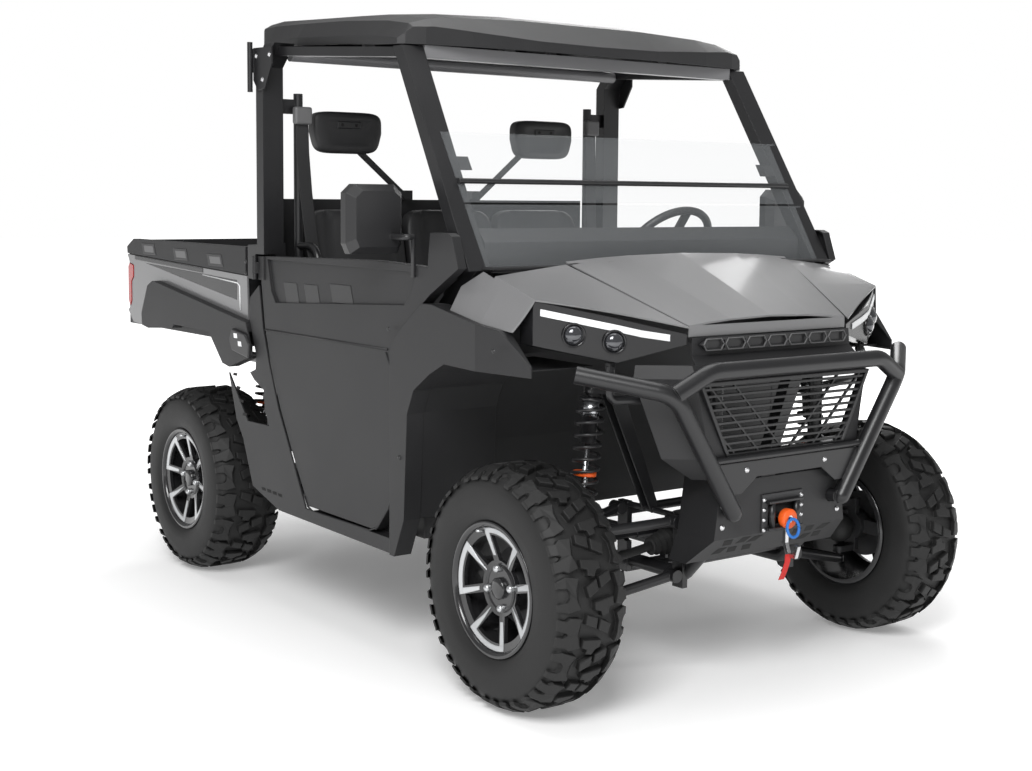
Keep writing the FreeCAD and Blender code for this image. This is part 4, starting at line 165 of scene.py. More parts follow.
body_paint = grained("body_paint", (0.150, 0.150, 0.153), 0.34, 60.0, 0.00004, 0.04, Coat_Weight=0.5,
                     Coat_Roughness=0.08)
black_moulding = grained("black_moulding", (0.016, 0.016, 0.017), 0.50, Specular_IOR_Level=0.42)
roof_moulding = grained("roof_moulding", (0.012, 0.012, 0.013), 0.45, 700.0, 0.0003)
satin_tube = grained("satin_tube", (0.012, 0.012, 0.013), 0.34, 500.0, 0.00008)
cast_metal = grained("cast_metal", (0.05, 0.05, 0.052), 0.55, 260.0, 0.0005, 0.35, Metallic=0.4)
black_plastic = grained("black_plastic", (0.016, 0.016, 0.017), 0.38, 900.0, 0.0001)
boot_rubber = grained("boot_rubber", (0.014, 0.014, 0.014), 0.62, 300.0, 0.0002)
bright_steel = grained("bright_steel", (0.62, 0.62, 0.63), 0.28, 240.0, 0.0001, 0.12, Metallic=1.0)
seat_vinyl = grained("seat_vinyl", (0.020, 0.020, 0.021), 0.52, 420.0, 0.0006)
red_lens = grained("red_lens", (0.36, 0.012, 0.012), 0.18, 300.0, 0.0001, 0.1, Coat_Weight=0.6)
header_paint = grained("header_paint", (0.16, 0.16, 0.165), 0.34, 500.0, 0.00006, 0.08)
damper_alloy = grained("damper_alloy", (0.55, 0.56, 0.58), 0.25, 200.0, 0.0001, 0.1, Metallic=1.0)
orange_rubber = grained("orange_rubber", (0.85, 0.115, 0.012), 0.5, 300.0, 0.0002, 0.08)
clear_plastic = Finish("clear_plastic", (0.55, 0.58, 0.60), 0.03, Alpha=0.07).material
lamp_bezel = grained("lamp_bezel", (0.012, 0.012, 0.013), 0.22, 300.0, 0.0001)


def tyre_finish():
    """Dull rubber with a slow change of tone and a fine grain."""
    made = Finish("tyre_rubber", (0.012, 0.012, 0.012), 0.75, Specular_IOR_Level=0.38)
    slow, fine = made.noise(9.0, 4.0), made.noise(420.0, 3.0)
    made.set("Base Color", made.mix(slow, (0.008, 0.008, 0.008), (0.017, 0.017, 0.017)))
    made.set("Roughness", 0.48 + slow * 0.22)
    made.bump(fine, 0.0006, 0.7)
    return made.material


tyre_rubber = tyre_finish()
rim_black = Finish("rim_finish", (0.016, 0.016, 0.017), 0.24, Coat_Weight=0.4).material
machined_alloy = grained("machined_alloy", (0.55, 0.56, 0.57), 0.30, 160.0, 0.00005, 0.10, Metallic=0.85)
belt_weave = grained("belt_weave", (0.020, 0.020, 0.021), 0.70, 700.0, 0.0006)
grey_plastic = grained("grey_plastic", (0.12, 0.12, 0.122), 0.45, 700.0, 0.0001, 0.10)
# Painted shade: a flat near-black for plates that stand for the shade inside holes and slots.
painted_hole_shade = grained("painted_hole_shade", (0.004, 0.004, 0.004), 0.80, 300.0, 0.0001)
gloss_black = grained("gloss_black", (0.008, 0.008, 0.009), 0.16, 300.0, 0.00004, 0.10)
white_lens = grained("white_lens", (0.80, 0.81, 0.82), 0.25, 300.0, 0.00004, 0.04)
lamp_glass = grained("lamp_glass", (0.05, 0.052, 0.058), 0.06, 60.0, 0.00004, 0.20, Metallic=0.5,
                     Coat_Weight=1.0)
blue_rope = grained("blue_rope", (0.015, 0.16, 0.55), 0.60, 800.0, 0.0006)
red_webbing = grained("red_webbing", (0.55, 0.015, 0.012), 0.65, 900.0, 0.0004)

node_finishes = {
    "tyre_": tyre_rubber, "rim_": rim_black, "spokes_": rim_black, "hub_": cast_metal,
    "front_fenders": body_paint, "hood": body_paint,
    "bed_side_panels": body_paint, "roof": roof_moulding, "door_": black_moulding,
    "side_panels": black_moulding, "front_flares": black_moulding, "fascia": black_moulding,
    "dashboard": black_moulding, "floor_pan": black_moulding, "bed_tub": black_moulding,
    "bed_flares": black_moulding, "tailgate": black_moulding, "cab_back_panel": black_moulding,
    "mirror_": black_plastic, "nose_skid": black_moulding, "cowl": black_moulding,
    "cage_sides": satin_tube, "cage_crossbars": header_paint, "bumper_guard": satin_tube,
    "seat_bars": satin_tube, "chassis_frame": satin_tube, "suspension_arms": satin_tube,
    "drivetrain": cast_metal, "knuckle_": cast_metal, "rear_hub_carriers": cast_metal,
    "muffler": cast_metal, "winch": cast_metal, "tie_rods": satin_tube, "dampers": satin_tube,
    "half_shafts": boot_rubber, "windscreen": clear_plastic, "windscreen_clamps": black_plastic,
    "grilles": black_plastic, "steering_wheel": black_plastic, "headlamps": lamp_bezel,
    "tail_lamps": red_lens, "winch_hook": bright_steel, "seat_base": seat_vinyl,
    "seat_backs": seat_vinyl}


def dress_nodes():
    for name, solid in nodes.items():
        found = [key for key in node_finishes if name == key or (key.endswith("_") and name.startswith(key))]
        solid.data.materials.clear()
        solid.data.materials.append(node_finishes[found[0]])


# Mesh helpers

def piece(name, mesh, finish, body):
    """A piece of the scene from a bmesh or mesh, on a body, with its finish."""
    if isinstance(mesh, bmesh.types.BMesh):
        data = bpy.data.meshes.new(name)
        mesh.to_mesh(data)
        mesh.free()
    else:
        data = mesh
    made = bpy.data.objects.new(name, data)
    bpy.context.scene.collection.objects.link(made)
    if not data.materials:
        data.materials.append(finish)
    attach(made, body)
    return made


def revolved(mesh, profile, steps, centre=Vector((0, 0, 0))):
    """Quads round the X axis through an (x, radius) profile."""
    rings = []
    for step in range(steps):
        angle = 2 * math.pi * step / steps
        rings.append([mesh.verts.new(centre + Vector((x, r * math.cos(angle), r * math.sin(angle))))
                      for x, r in profile])
    for ring, following in zip(rings, rings[1:] + rings[:1]):
        for index in range(len(profile) - 1):
            face = mesh.faces.new((ring[index], ring[index + 1], following[index + 1], following[index]))
            face.smooth = True
    return rings


def tube(mesh, path, radii, sides=12):
    """A round tube along a path, with one radius or one for each point."""
    path = [Vector(p) for p in path]
    if not isinstance(radii, (list, tuple)):
        radii = [radii] * len(path)
    normal = None
    rings = []
    for index, (place, radius) in enumerate(zip(path, radii)):
        along = (path[min(index + 1, len(path) - 1)] - path[max(index - 1, 0)]).normalized()
        if normal is None:
            normal = along.orthogonal().normalized()
        normal = (normal - along * normal.dot(along)).normalized()
        side = along.cross(normal)
        rings.append([mesh.verts.new(place + radius * (math.cos(2 * math.pi * k / sides) * normal
                                                       + math.sin(2 * math.pi * k / sides) * side))
                      for k in range(sides)])
    for ring, following in zip(rings, rings[1:]):
        for k in range(sides):
            face = mesh.faces.new((ring[k], ring[(k + 1) % sides], following[(k + 1) % sides], following[k]))
            face.smooth = True
    mesh.faces.new(rings[0][::-1])
    mesh.faces.new(rings[-1])


def block(mesh, low, high, bevel=0.0):
    """A box between two corners with rounded edges."""
    made = bmesh.ops.create_cube(mesh, size=1)
    low, high = Vector(low), Vector(high)
    middle, size = (low + high) / 2, high - low
    for vert in made["verts"]:
        vert.co = middle + Vector(vert.co[i] * size[i] for i in range(3))
    if bevel:
        edges = list({edge for vert in made["verts"] for edge in vert.link_edges})
        bmesh.ops.bevel(mesh, geom=edges, offset=bevel, segments=3, affect="EDGES", profile=0.5)


def prism(mesh, outline, thickness, frame_of, bevel=0.0):
    """A flat piece from a closed outline, laid in a frame given as (corner, across, up)."""
    corner, across, up = (Vector(v) for v in frame_of)
    out = across.cross(up).normalized()
    low = [mesh.verts.new(corner + across * u + up * v) for u, v in outline]
    top = [mesh.verts.new(vert.co + out * thickness) for vert in low]
    faces = [mesh.faces.new(top), mesh.faces.new(low[::-1])]
    for a, b, c, d in zip(low, low[1:] + low[:1], top[1:] + top[:1], top):
        faces.append(mesh.faces.new((a, b, c, d)))
    if bevel:
        bmesh.ops.bevel(mesh, geom=list(faces[0].edges), offset=bevel, segments=2, affect="EDGES",
                        profile=0.5)


# Dampers

damper_stations = [("front", (0.446, axle_front_y + 0.012, 0.868), (0.486, axle_front_y + 0.012, 0.497)),
                   ("rear", (0.420, axle_rear_y + 0.012, 0.800), (0.462, axle_rear_y + 0.012, 0.497))]
spring_radius, spring_wire = 0.038, 0.0048


def damper_pieces(name, top, foot):
    top, foot = Vector(top), Vector(foot)
    along = (foot - top).normalized()
    length = (foot - top).length
    side = Vector((0, 1, 0))
    front = along.cross(side)
    mesh = bmesh.new()
    for place in (top, foot):
        tube(mesh, [place - side * 0.015, place + side * 0.015], 0.017, 24)
    tube(mesh, [top + along * t
                for t in (0.012, 0.020, 0.0201, 0.030, 0.0301, length * 0.40, length * 0.405)],
         [0.012, 0.012, 0.034, 0.034, 0.024, 0.024, 0.019], 28)
    tube(mesh, [foot - along * t for t in (0.012, 0.030, 0.0301, 0.036)], [0.013, 0.013, 0.036, 0.036], 28)
    body = piece("damper_body_" + name, mesh, satin_tube, "chassis")
    mesh = bmesh.new()
    tube(mesh, [top + along * length * 0.40, foot - along * 0.02], 0.0085, 20)
    tube(mesh, [top + along * t for t in (0.030, 0.075)], 0.0262, 32)
    shaft = piece("damper_shaft_" + name, mesh, damper_alloy, "chassis")
    mesh = bmesh.new()
    tube(mesh, [top + along * length * t for t in (0.62, 0.625, 0.655, 0.66)],
         [0.030, 0.034, 0.034, 0.030], 28)
    ring = piece("damper_collar_" + name, mesh, orange_rubber, "chassis")
    mesh = bmesh.new()
    turns, steps = 8.5, 200
    start, reach = 0.033, length - 0.074
    coil = []
    for step in range(steps + 1):
        share = step / steps
        angle = 2 * math.pi * turns * share
        coil.append(top + along * (start + reach * share)
                    + spring_radius * (math.cos(angle) * side + math.sin(angle) * front))
    tube(mesh, coil, spring_wire, 10)
    spring = piece("damper_spring_" + name, mesh, black_plastic, "chassis")
    return [body, shaft, ring, spring]


def make_dampers():
    made = []
    for end, top, foot in damper_stations:
        for side, sign in left_first:
            made += damper_pieces(end + "_" + side, *[(sign * x, y, z) for x, y, z in (top, foot)])
    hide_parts("dampers")
    for other in made[1:]:
        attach(other, "chassis")


# Tyres

tread_pitches = 10
lug_height, lug_edge = 0.017, 0.003
bead_inset = 0.014
shoulder_start, shoulder_fall = 0.52, 0.030
carcass_radius = tyre_radius - lug_height
shoulder_lugs = [[(0.50, 0.06), (0.80, 0.02), (0.98, 0.06), (0.98, 0.16), (0.80, 0.16), (0.74, 0.22),
                  (0.74, 0.29), (0.80, 0.35), (0.98, 0.36), (0.98, 0.46), (0.78, 0.48), (0.52, 0.44),
                  (0.60, 0.34), (0.60, 0.18)],
                 [(0.48, 0.56), (0.74, 0.54), (0.82, 0.59), (0.98, 0.56), (0.98, 0.72), (0.82, 0.73),
                  (0.77, 0.76), (0.82, 0.80), (0.98, 0.81), (0.98, 0.96), (0.80, 0.94), (0.72, 0.98),
                  (0.48, 0.94), (0.58, 0.76)]]
centre_lugs = [[(-0.34, 0.02), (-0.04, 0.08), (-0.07, 0.22), (-0.38, 0.14)],
               [(0.04, 0.10), (0.34, 0.18), (0.28, 0.32), (0.00, 0.24)],
               [(-0.40, 0.34), (0.12, 0.38), (0.12, 0.48), (-0.04, 0.49), (-0.08, 0.57), (-0.26, 0.55),
                (-0.24, 0.47), (-0.40, 0.45)]]


def crown(share):
    """The tread's radius at a share of the half width."""
    return tyre_radius - shoulder_fall * max(0.0, abs(share) - shoulder_start) ** 1.4 / 0.35


def tyre_lug(mesh, outline, half, pitch):
    """One tread block from its (share of half width, share of pitch) outline; its top edges."""
    top, low = [], []
    for across, turn in outline:
        angle = 2 * math.pi * (pitch + turn) / tread_pitches
        radius = crown(across)
        spread = 1.02 if abs(across) < 0.9 else 1.0
        deep = carcass_radius - 0.006 - 0.055 * max(0, abs(across) - 0.7)
        for ring, r, x in ((top, radius, across * half), (low, deep, across * half * spread)):
            ring.append(mesh.verts.new((x, -r * math.sin(angle), -r * math.cos(angle))))
    face = mesh.faces.new(top)
    for a, b, c, d in zip(top, top[1:] + top[:1], low[1:] + low[:1], low):
        mesh.faces.new((a, b, c, d))
    return set(face.edges)


def tyre_mesh(name, width):
    """A tyre round the X axis: its carcass, and lugs that alternate from side to side."""
    half = width / 2
    mesh = bmesh.new()
    bead = half - bead_inset
    outer = [(bead - 0.004, lip_radius - 0.008), (bead, lip_radius + 0.0015),
             (half * 0.985, lip_radius + 0.014), (half, lip_radius + 0.045), (half, lip_radius + 0.066),
             (half * 0.985, lip_radius + 0.088), (half * 0.95, carcass_radius - 0.032),
             (half * 0.86, carcass_radius - 0.012), (half * 0.70, carcass_radius - 0.003),
             (half * 0.40, carcass_radius), (0, carcass_radius)]
    profile = outer + [(-x, r) for x, r in reversed(outer[:-1])]
    revolved(mesh, profile, 108)
    edges = set()
    for pitch in range(tread_pitches):
        for outline in centre_lugs + shoulder_lugs:
            edges |= tyre_lug(mesh, outline, half, pitch)
            edges |= tyre_lug(mesh, [(-x, turn) for x, turn in reversed(outline)], half, pitch + 0.5)
    bmesh.ops.bevel(mesh, geom=list(edges), offset=lug_edge, segments=2, affect="EDGES", profile=0.6)
    bmesh.ops.recalc_face_normals(mesh, faces=mesh.faces)
    data = bpy.data.meshes.new(name)
    mesh.to_mesh(data)
    mesh.free()
    data.materials.append(tyre_rubber)
    return data


def make_tyres():
    for end, axle_y, lip_x, width in axles:
        data = tyre_mesh("tyre_mesh_" + end, width)
        middle = lip_x + lip_overhang - width / 2
        for side, sign in left_first:
            place = Matrix.Translation((sign * middle, axle_y, axle_z))
            made = bpy.data.objects.new("tread_tyre_%s_%s" % (end, side), data)
            bpy.context.scene.collection.objects.link(made)
            made.matrix_world = place @ Matrix.Rotation(0 if sign > 0 else math.pi, 4, "Z")
            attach(made, "wheel_%s_%s" % (end, side))
            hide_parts("tyre_%s_%s" % (end, side))


# Rims

rim_turns = {"front_right": -12.0, "rear_right": -32.0, "front_left": 20.0, "rear_left": -5.0}
hub_radius, hub_inset, dish_inset, dish_radius = 0.062, 0.035, 0.012, 0.172
dish_thickness = 0.012
low_marks, high_marks = (-13, 13, 31, 59, 77), (-20, 20, 29, 61, 70)
dish_radii = (0.028, 0.062, 0.078, 0.150, 0.160, 0.172)
nut_circle_radius, nut_turn = 0.055, 22
valve_angle = 121
frame_reach = 28.5


def polar(radius, degrees, lift=0.0):
    """A point on the dished face of a rim, its lip at x = 0."""
    share = min(1.0, max(0.0, (radius - hub_radius) / (dish_radius - hub_radius)))
    angle = math.radians(degrees)
    return Vector((-hub_inset + (hub_inset - dish_inset) * share + lift, radius * math.cos(angle),
                   radius * math.sin(angle)))


def dish(mesh):
    """The spoked disc with four framed and four plain windows."""
    columns = []
    for quarter in range(4):
        for cell in range(4):
            steps = 2 if cell % 2 else 6
            for step in range(steps):
                low, high = (marks[cell] + (marks[cell + 1] - marks[cell]) * step / steps + 90 * quarter
                             for marks in (low_marks, high_marks))
                columns.append((low, high, cell % 2 == 0))
    rings = [[mesh.verts.new(polar(r, low if r < 0.1 else high)) for r in dish_radii]
             for low, high, _ in columns]
    faces = []
    for (_, _, window), ring, following in zip(columns, rings, rings[1:] + rings[:1]):
        for k in range(len(dish_radii) - 1):
            if not (window and k == 2):
                faces.append(mesh.faces.new((ring[k], ring[k + 1], following[k + 1], following[k])))
    back = bmesh.ops.extrude_face_region(mesh, geom=faces)["geom"]
    bmesh.ops.translate(mesh, vec=(-dish_thickness, 0, 0),
                        verts=[v for v in back if isinstance(v, bmesh.types.BMVert)])


def ribbon(mesh, pairs, low=-0.002, high=0.0016):
    """A raised machined strip between two edges given as (radius, degrees) pairs."""
    rows = [[mesh.verts.new(polar(*place, lift)) for place in pair for lift in (high, low)]
            for pair in pairs]
    for a, b in zip(rows, rows[1:]):
        for i, k in ((0, 2), (2, 3), (1, 0)):
            mesh.faces.new((a[i], a[k], b[k], b[i]))
    for row in (rows[0], rows[-1]):
        mesh.faces.new((row[0], row[1], row[3], row[2]))


def machined_frame(mesh, middle):
    """The bright arc and the two spoke edges that border one window."""
    start, end = middle - frame_reach, middle + frame_reach
    ribbon(mesh, [((0.1555, turn), (0.1705, turn))
                  for turn in (start + 2 * frame_reach * step / 12 for step in range(13))])
    ribbon(mesh, [((0.156, start), (0.156, middle - 21.0)),
                  ((0.112, middle - 25.0), (0.112, middle - 20)),
                  ((0.073, middle - 22.0), (0.073, middle - 21))])
    ribbon(mesh, [((0.156, middle + 22.0), (0.156, end)),
                  ((0.092, middle + 19), (0.092, middle + 26.0))])


def rim_meshes(width):
    """The black casting and the bright faces of a left wheel's rim, its lip at x = 0."""
    back = 2 * lip_overhang - width
    mesh = bmesh.new()
    revolved(mesh, [(back, dish_radius), (back, lip_radius), (back + 0.006, lip_radius),
                    (back + 0.006, 0.178), (-0.010, 0.178), (-0.006, lip_radius), (-0.002, lip_radius),
                    (0, 0.188), (0, 0.181), (-0.004, 0.1745), (-0.014, dish_radius),
                    (back, dish_radius)], 96)
    dish(mesh)
    revolved(mesh, [(-hub_inset, 0.030), (-0.025, 0.030), (-0.0215, 0.026), (-0.0205, 0.014),
                    (-0.020, 0.0004)], 40)
    revolved(mesh, [(-hub_inset - 0.004, hub_radius + 0.004), (-hub_inset + 0.006, hub_radius + 0.001),
                    (-hub_inset + 0.0005, hub_radius - 0.004)], 64)
    bmesh.ops.recalc_face_normals(mesh, faces=mesh.faces)
    bright = bmesh.new()
    for quarter in range(4):
        machined_frame(bright, 90 * quarter)
    for quarter in range(4):
        angle = math.radians(90 * quarter + nut_turn)
        centre = Vector((-hub_inset, nut_circle_radius * math.cos(angle),
                         nut_circle_radius * math.sin(angle)))
        revolved(bright, [(-0.004, 0.011), (0.009, 0.011), (0.012, 0.0095), (0.0155, 0.0055),
                          (0.0165, 0.0003)], 24, centre)
    tube(bright, [polar(0.161, valve_angle), polar(0.166, valve_angle, 0.022)], [0.0042, 0.0034], 12)
    bmesh.ops.recalc_face_normals(bright, faces=bright.faces)
    return mesh, bright


def make_rims():
    for end, axle_y, lip_x, width in axles:
        for side, sign in left_first:
            corner = end + "_" + side
            black, bright = rim_meshes(width)
            place = (Matrix.Translation((sign * lip_x, axle_y, axle_z))
                     @ Matrix.Rotation(0 if sign > 0 else math.pi, 4, "Z")
                     @ Matrix.Rotation(math.radians(rim_turns[corner]), 4, "X"))
            for mesh in (black, bright):
                bmesh.ops.transform(mesh, matrix=place, verts=mesh.verts)
            rim = piece("cast_rim_" + corner, black, rim_black, "wheel_" + corner)
            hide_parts("rim_" + corner, "spokes_" + corner)
            piece("machined_faces_" + corner, bright, machined_alloy, "wheel_" + corner)


# Seats and belts

seat_places = (-0.402, 0.0, 0.402)
seat_front_y, seat_rear_y, seat_low_z, seat_high_z = -0.1655, 0.2745, 0.7603, 0.8753
back_foot_y, back_low_z, back_high_z, back_lean = 0.189, 0.8756, 1.3656, 0.2126
headrest_centre = Vector((0.434, 0.3175, 1.634))
headrest_half = Vector((0.138, 0.031, 0.073))
cushion_half, side_seam, seam_width = 0.193, 0.118, 0.007


def pad(mesh, centre, half, roundness, steps=(56, 28)):
    """A crowned closed cushion whose sides pull in between its corners."""
    def power(value):
        return math.copysign(abs(value) ** roundness, value)
    rows = []
    for i in range(1, steps[1]):
        tilt = math.pi * (i / steps[1] - 0.5)
        rows.append([mesh.verts.new(centre + Vector((half[0] * power(math.cos(tilt)) * power(math.cos(t)),
                                                     half[1] * power(math.cos(tilt)) * power(math.sin(t)),
                                                     half[2] * power(math.sin(tilt)))))
                     for t in (2 * math.pi * k / steps[0] for k in range(steps[0]))])
    ends = [mesh.verts.new(centre + Vector((0, 0, sign * half[2]))) for sign in (-1, 1)]
    for row, following in zip(rows, rows[1:]):
        for k in range(steps[0]):
            nxt = (k + 1) % steps[0]
            mesh.faces.new((row[k], row[nxt], following[nxt], following[k])).smooth = True
    for k in range(steps[0]):
        nxt = (k + 1) % steps[0]
        mesh.faces.new((ends[0], rows[0][nxt], rows[0][k])).smooth = True
        mesh.faces.new((ends[1], rows[-1][k], rows[-1][nxt])).smooth = True


def groove(value, middle):
    """How deep a sewn seam lies at a value, from 0 to 1 at its middle."""
    return math.exp(-((value - middle) / seam_width) ** 2)


def make_seats():
    made = []
    for name, x in zip(("right", "middle", "left"), seat_places):
        mesh = bmesh.new()
        half = Vector((cushion_half, (seat_rear_y - seat_front_y) / 2, (seat_high_z - seat_low_z) / 2))
        pad(mesh, Vector((x, (seat_front_y + seat_rear_y) / 2, (seat_low_z + seat_high_z) / 2)), half, 0.32)
        for vert in mesh.verts:
            if vert.co.z > seat_low_z + 0.07:
                seams = groove(abs(vert.co.x - x), side_seam) + groove(vert.co.y, -0.02)
                vert.co.z += 0.010 * math.cos((vert.co.x - x) / cushion_half * 1.4) - 0.009 * min(1.0, seams)
        base = piece("seat_pad_" + name, mesh, seat_vinyl, "chassis")
        mesh = bmesh.new()
        half = Vector((cushion_half, 0.036, (back_high_z - back_low_z) / 2 - 0.002))
        pad(mesh, Vector((x, back_foot_y + 0.041, (back_low_z + back_high_z) / 2)), half, 0.30)
        for vert in mesh.verts:
            rise = vert.co.z - back_low_z
            if vert.co.y < back_foot_y + 0.035:
                seams = groove(abs(vert.co.x - x), side_seam) + groove(rise, 0.33) + groove(rise, 0.17)
                vert.co.y += 0.008 * min(1.0, seams) - 0.006 * math.cos((vert.co.x - x) / cushion_half * 1.4)
            vert.co.y += rise * back_lean
        back = piece("seat_back_pad_" + name, mesh, seat_vinyl, "chassis")
        made += [base, back]
    for name, sign in right_first:
        mesh = bmesh.new()
        centre = Vector((sign * headrest_centre.x, headrest_centre.y, headrest_centre.z))
        pad(mesh, centre, headrest_half, 0.36)
        for vert in mesh.verts:
            across = (vert.co.x - centre.x) / headrest_half.x
            up = (vert.co.z - centre.z) / headrest_half.z
            vert.co.x = centre.x + across * headrest_half.x * (1 - 0.14 * max(0, -up))
            if vert.co.y < centre.y:
                inside = max(0, 1 - (abs(across) / (0.66 + 0.08 * up)) ** 8)
                vert.co.y += 0.007 * (inside * max(0, 1 - (abs(up) / 0.62) ** 8))
        rest = piece("headrest_pad_" + name, mesh, seat_vinyl, "chassis")
        made.append(rest)
        mesh = bmesh.new()
        block(mesh, centre + Vector((-0.048, -0.0285, 0.014)), centre + Vector((0.048, -0.021, 0.040)),
              0.0035)
        piece("headrest_plate_" + name, mesh, black_plastic, "chassis")
        # Painted shade: two thin dark discs on the plate stand for the shade inside its two holes.
        mesh = bmesh.new()
        for across in (-0.028, 0.028):
            tube(mesh, [centre + Vector((across, y, 0.027)) for y in (-0.0290, -0.0280)], 0.006, 16)
        piece("headrest_hole_shade_" + name, mesh, painted_hole_shade, "chassis")
    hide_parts("seat_base")
    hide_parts("seat_backs")


def strap(mesh, path, width, thickness=0.0012):
    """A flat strap along a path, its width across X."""
    rows = []
    for place in path:
        x, y, z = place
        rows.append([mesh.verts.new((x + across * width / 2, y + depth * thickness, z))
                     for across, depth in ((-1, -1), (1, -1), (1, 1), (-1, 1))])
    for row, following in zip(rows, rows[1:]):
        for k in range(4):
            mesh.faces.new((row[k], row[(k + 1) % 4], following[(k + 1) % 4], following[k]))
    mesh.faces.new(rows[0][::-1])
    mesh.faces.new(rows[-1])


def make_belts():
    for name, sign in right_first:
        path = [(0.637, 0.262, 1.680), (0.636, 0.258, 1.560), (0.630, 0.248, 1.420), (0.620, 0.226, 1.250),
                (0.606, 0.192, 1.080), (0.594, 0.150, 0.940)]
        path = [(sign * x, y, z) for x, y, z in path]
        mesh = bmesh.new()
        strap(mesh, path, 0.048)
        webbing = piece("belt_webbing_" + name, mesh, belt_weave, "chassis")
        mesh = bmesh.new()
        block(mesh, (sign * 0.637 - 0.033, 0.244, 1.655), (sign * 0.637 + 0.033, 0.272, 1.715), 0.008)
        piece("belt_guide_" + name, mesh, grey_plastic, "chassis")
        mesh = bmesh.new()
        block(mesh, (sign * 0.590 - 0.029, 0.118, 0.895), (sign * 0.590 + 0.029, 0.160, 0.945), 0.006)
        piece("belt_buckle_" + name, mesh, black_plastic, "chassis")


# Lamps

lamp_top_edge = ((0.325, -1.3605, 1.0440), (0.5115, -1.2835, 1.08975), (0.698, -1.1465, 1.1355))
projector_shares = ((0.52, 0.066), (0.76, 0.070))


def lamp_place(share, drop, proud, sign):
    """A point on the right or left lamp's face, a share of the way from its inner end."""
    step = min(1, int(share * 2))
    part = share * 2 - step
    x, y, z = (a + (b - a) * part for a, b in zip(lamp_top_edge[step], lamp_top_edge[step + 1]))
    return Vector((sign * x, y - proud, z - drop))


def make_lamps():
    for name, sign in right_first:
        mesh = bmesh.new()
        count = 24
        rows = []
        for k in range(count + 1):
            share = 0.13 + 0.83 * k / count
            drop = 0.012 + 0.006 * min(1, k / 6)
            rows.append([mesh.verts.new(lamp_place(share, drop + fall, proud, sign))
                         for fall, proud in ((0, 0.001), (0, 0.0045), (0.019, 0.0045), (0.019, 0.001))])
        for row, following in zip(rows, rows[1:]):
            for k in range(4):
                mesh.faces.new((row[k], row[(k + 1) % 4], following[(k + 1) % 4], following[k]))
        mesh.faces.new(rows[0])
        mesh.faces.new(rows[-1][::-1])
        bmesh.ops.recalc_face_normals(mesh, faces=mesh.faces)
        piece("daylight_bar_" + name, mesh, white_lens, "chassis")
        lens, ring = bmesh.new(), bmesh.new()
        for share, drop in projector_shares:
            centre = lamp_place(share, drop, 0, sign)
            aim = Vector((sign * 0.42, -0.90, 0)).normalized()
            turn = aim.to_track_quat("X", "Z").to_matrix().to_4x4()
            for target, profile in ((lens, [(0.004, 0.0265), (0.010, 0.024), (0.015, 0.018), (0.018, 0.010),
                                            (0.019, 0.0003)]),
                                    (ring, [(0.0, 0.034), (0.007, 0.034), (0.008, 0.031), (0.004, 0.0265),
                                            (0.0, 0.0265)])):
                before = len(target.verts)
                revolved(target, profile, 40)
                target.verts.ensure_lookup_table()
                bmesh.ops.transform(target, matrix=Matrix.Translation(centre) @ turn,
                                    verts=target.verts[before:])
        bmesh.ops.recalc_face_normals(lens, faces=lens.faces)
        bmesh.ops.recalc_face_normals(ring, faces=ring.faces)
        piece("projector_lens_" + name, lens, lamp_glass, "chassis")
        piece("projector_ring_" + name, ring, gloss_black, "chassis")


# Side trim

def side_plate(mesh, sign, outline, outer_x, depth, bevel=0.0):
    """A plate on a side face from a (y, z) outline, its outer face at outer_x."""
    prism(mesh, [(sign * y, z) for y, z in outline], depth,
          ((sign * (outer_x - depth), 0, 0), (0, sign, 0), (0, 0, 1)), bevel)


def slanted(y, z, length, height, lean):
    """A leaning four-cornered outline round a place."""
    return [(y - length / 2, z - height / 2), (y + length / 2, z - height / 2),
            (y + length / 2 + lean, z + height / 2), (y - length / 2 + lean, z + height / 2)]


bed_stripe = [(1.408, 1.150), (0.783, 1.126), (0.783, 1.142), (1.408, 1.166)]
bed_triangle = [(1.310, 1.140), (0.507, 1.042), (0.506, 1.112)]
notch_places = ((1.263, 1.196), (0.968, 1.186), (0.673, 1.176))
notch_x, notch_depth = bed_side_x + 0.0015, 0.0015
door_pocket_x = 0.7722
bed_edge_line = ((0.783, 1.118), (0.500, 1.102), (0.484, 1.092), (0.480, 1.007))
reflector_pod = [(0.345, 0.850), (0.470, 0.868), (0.492, 0.905), (0.470, 0.945), (0.372, 0.932),
                 (0.340, 0.900)]
door_line = [(-0.010, 0.423), (-0.030, 0.392), (-0.060, 0.380), (-0.420, 0.382), (-0.470, 0.400),
             (-0.535, 0.470), (-0.548, 0.500), (-0.548, 0.900), (-0.520, 0.945)]


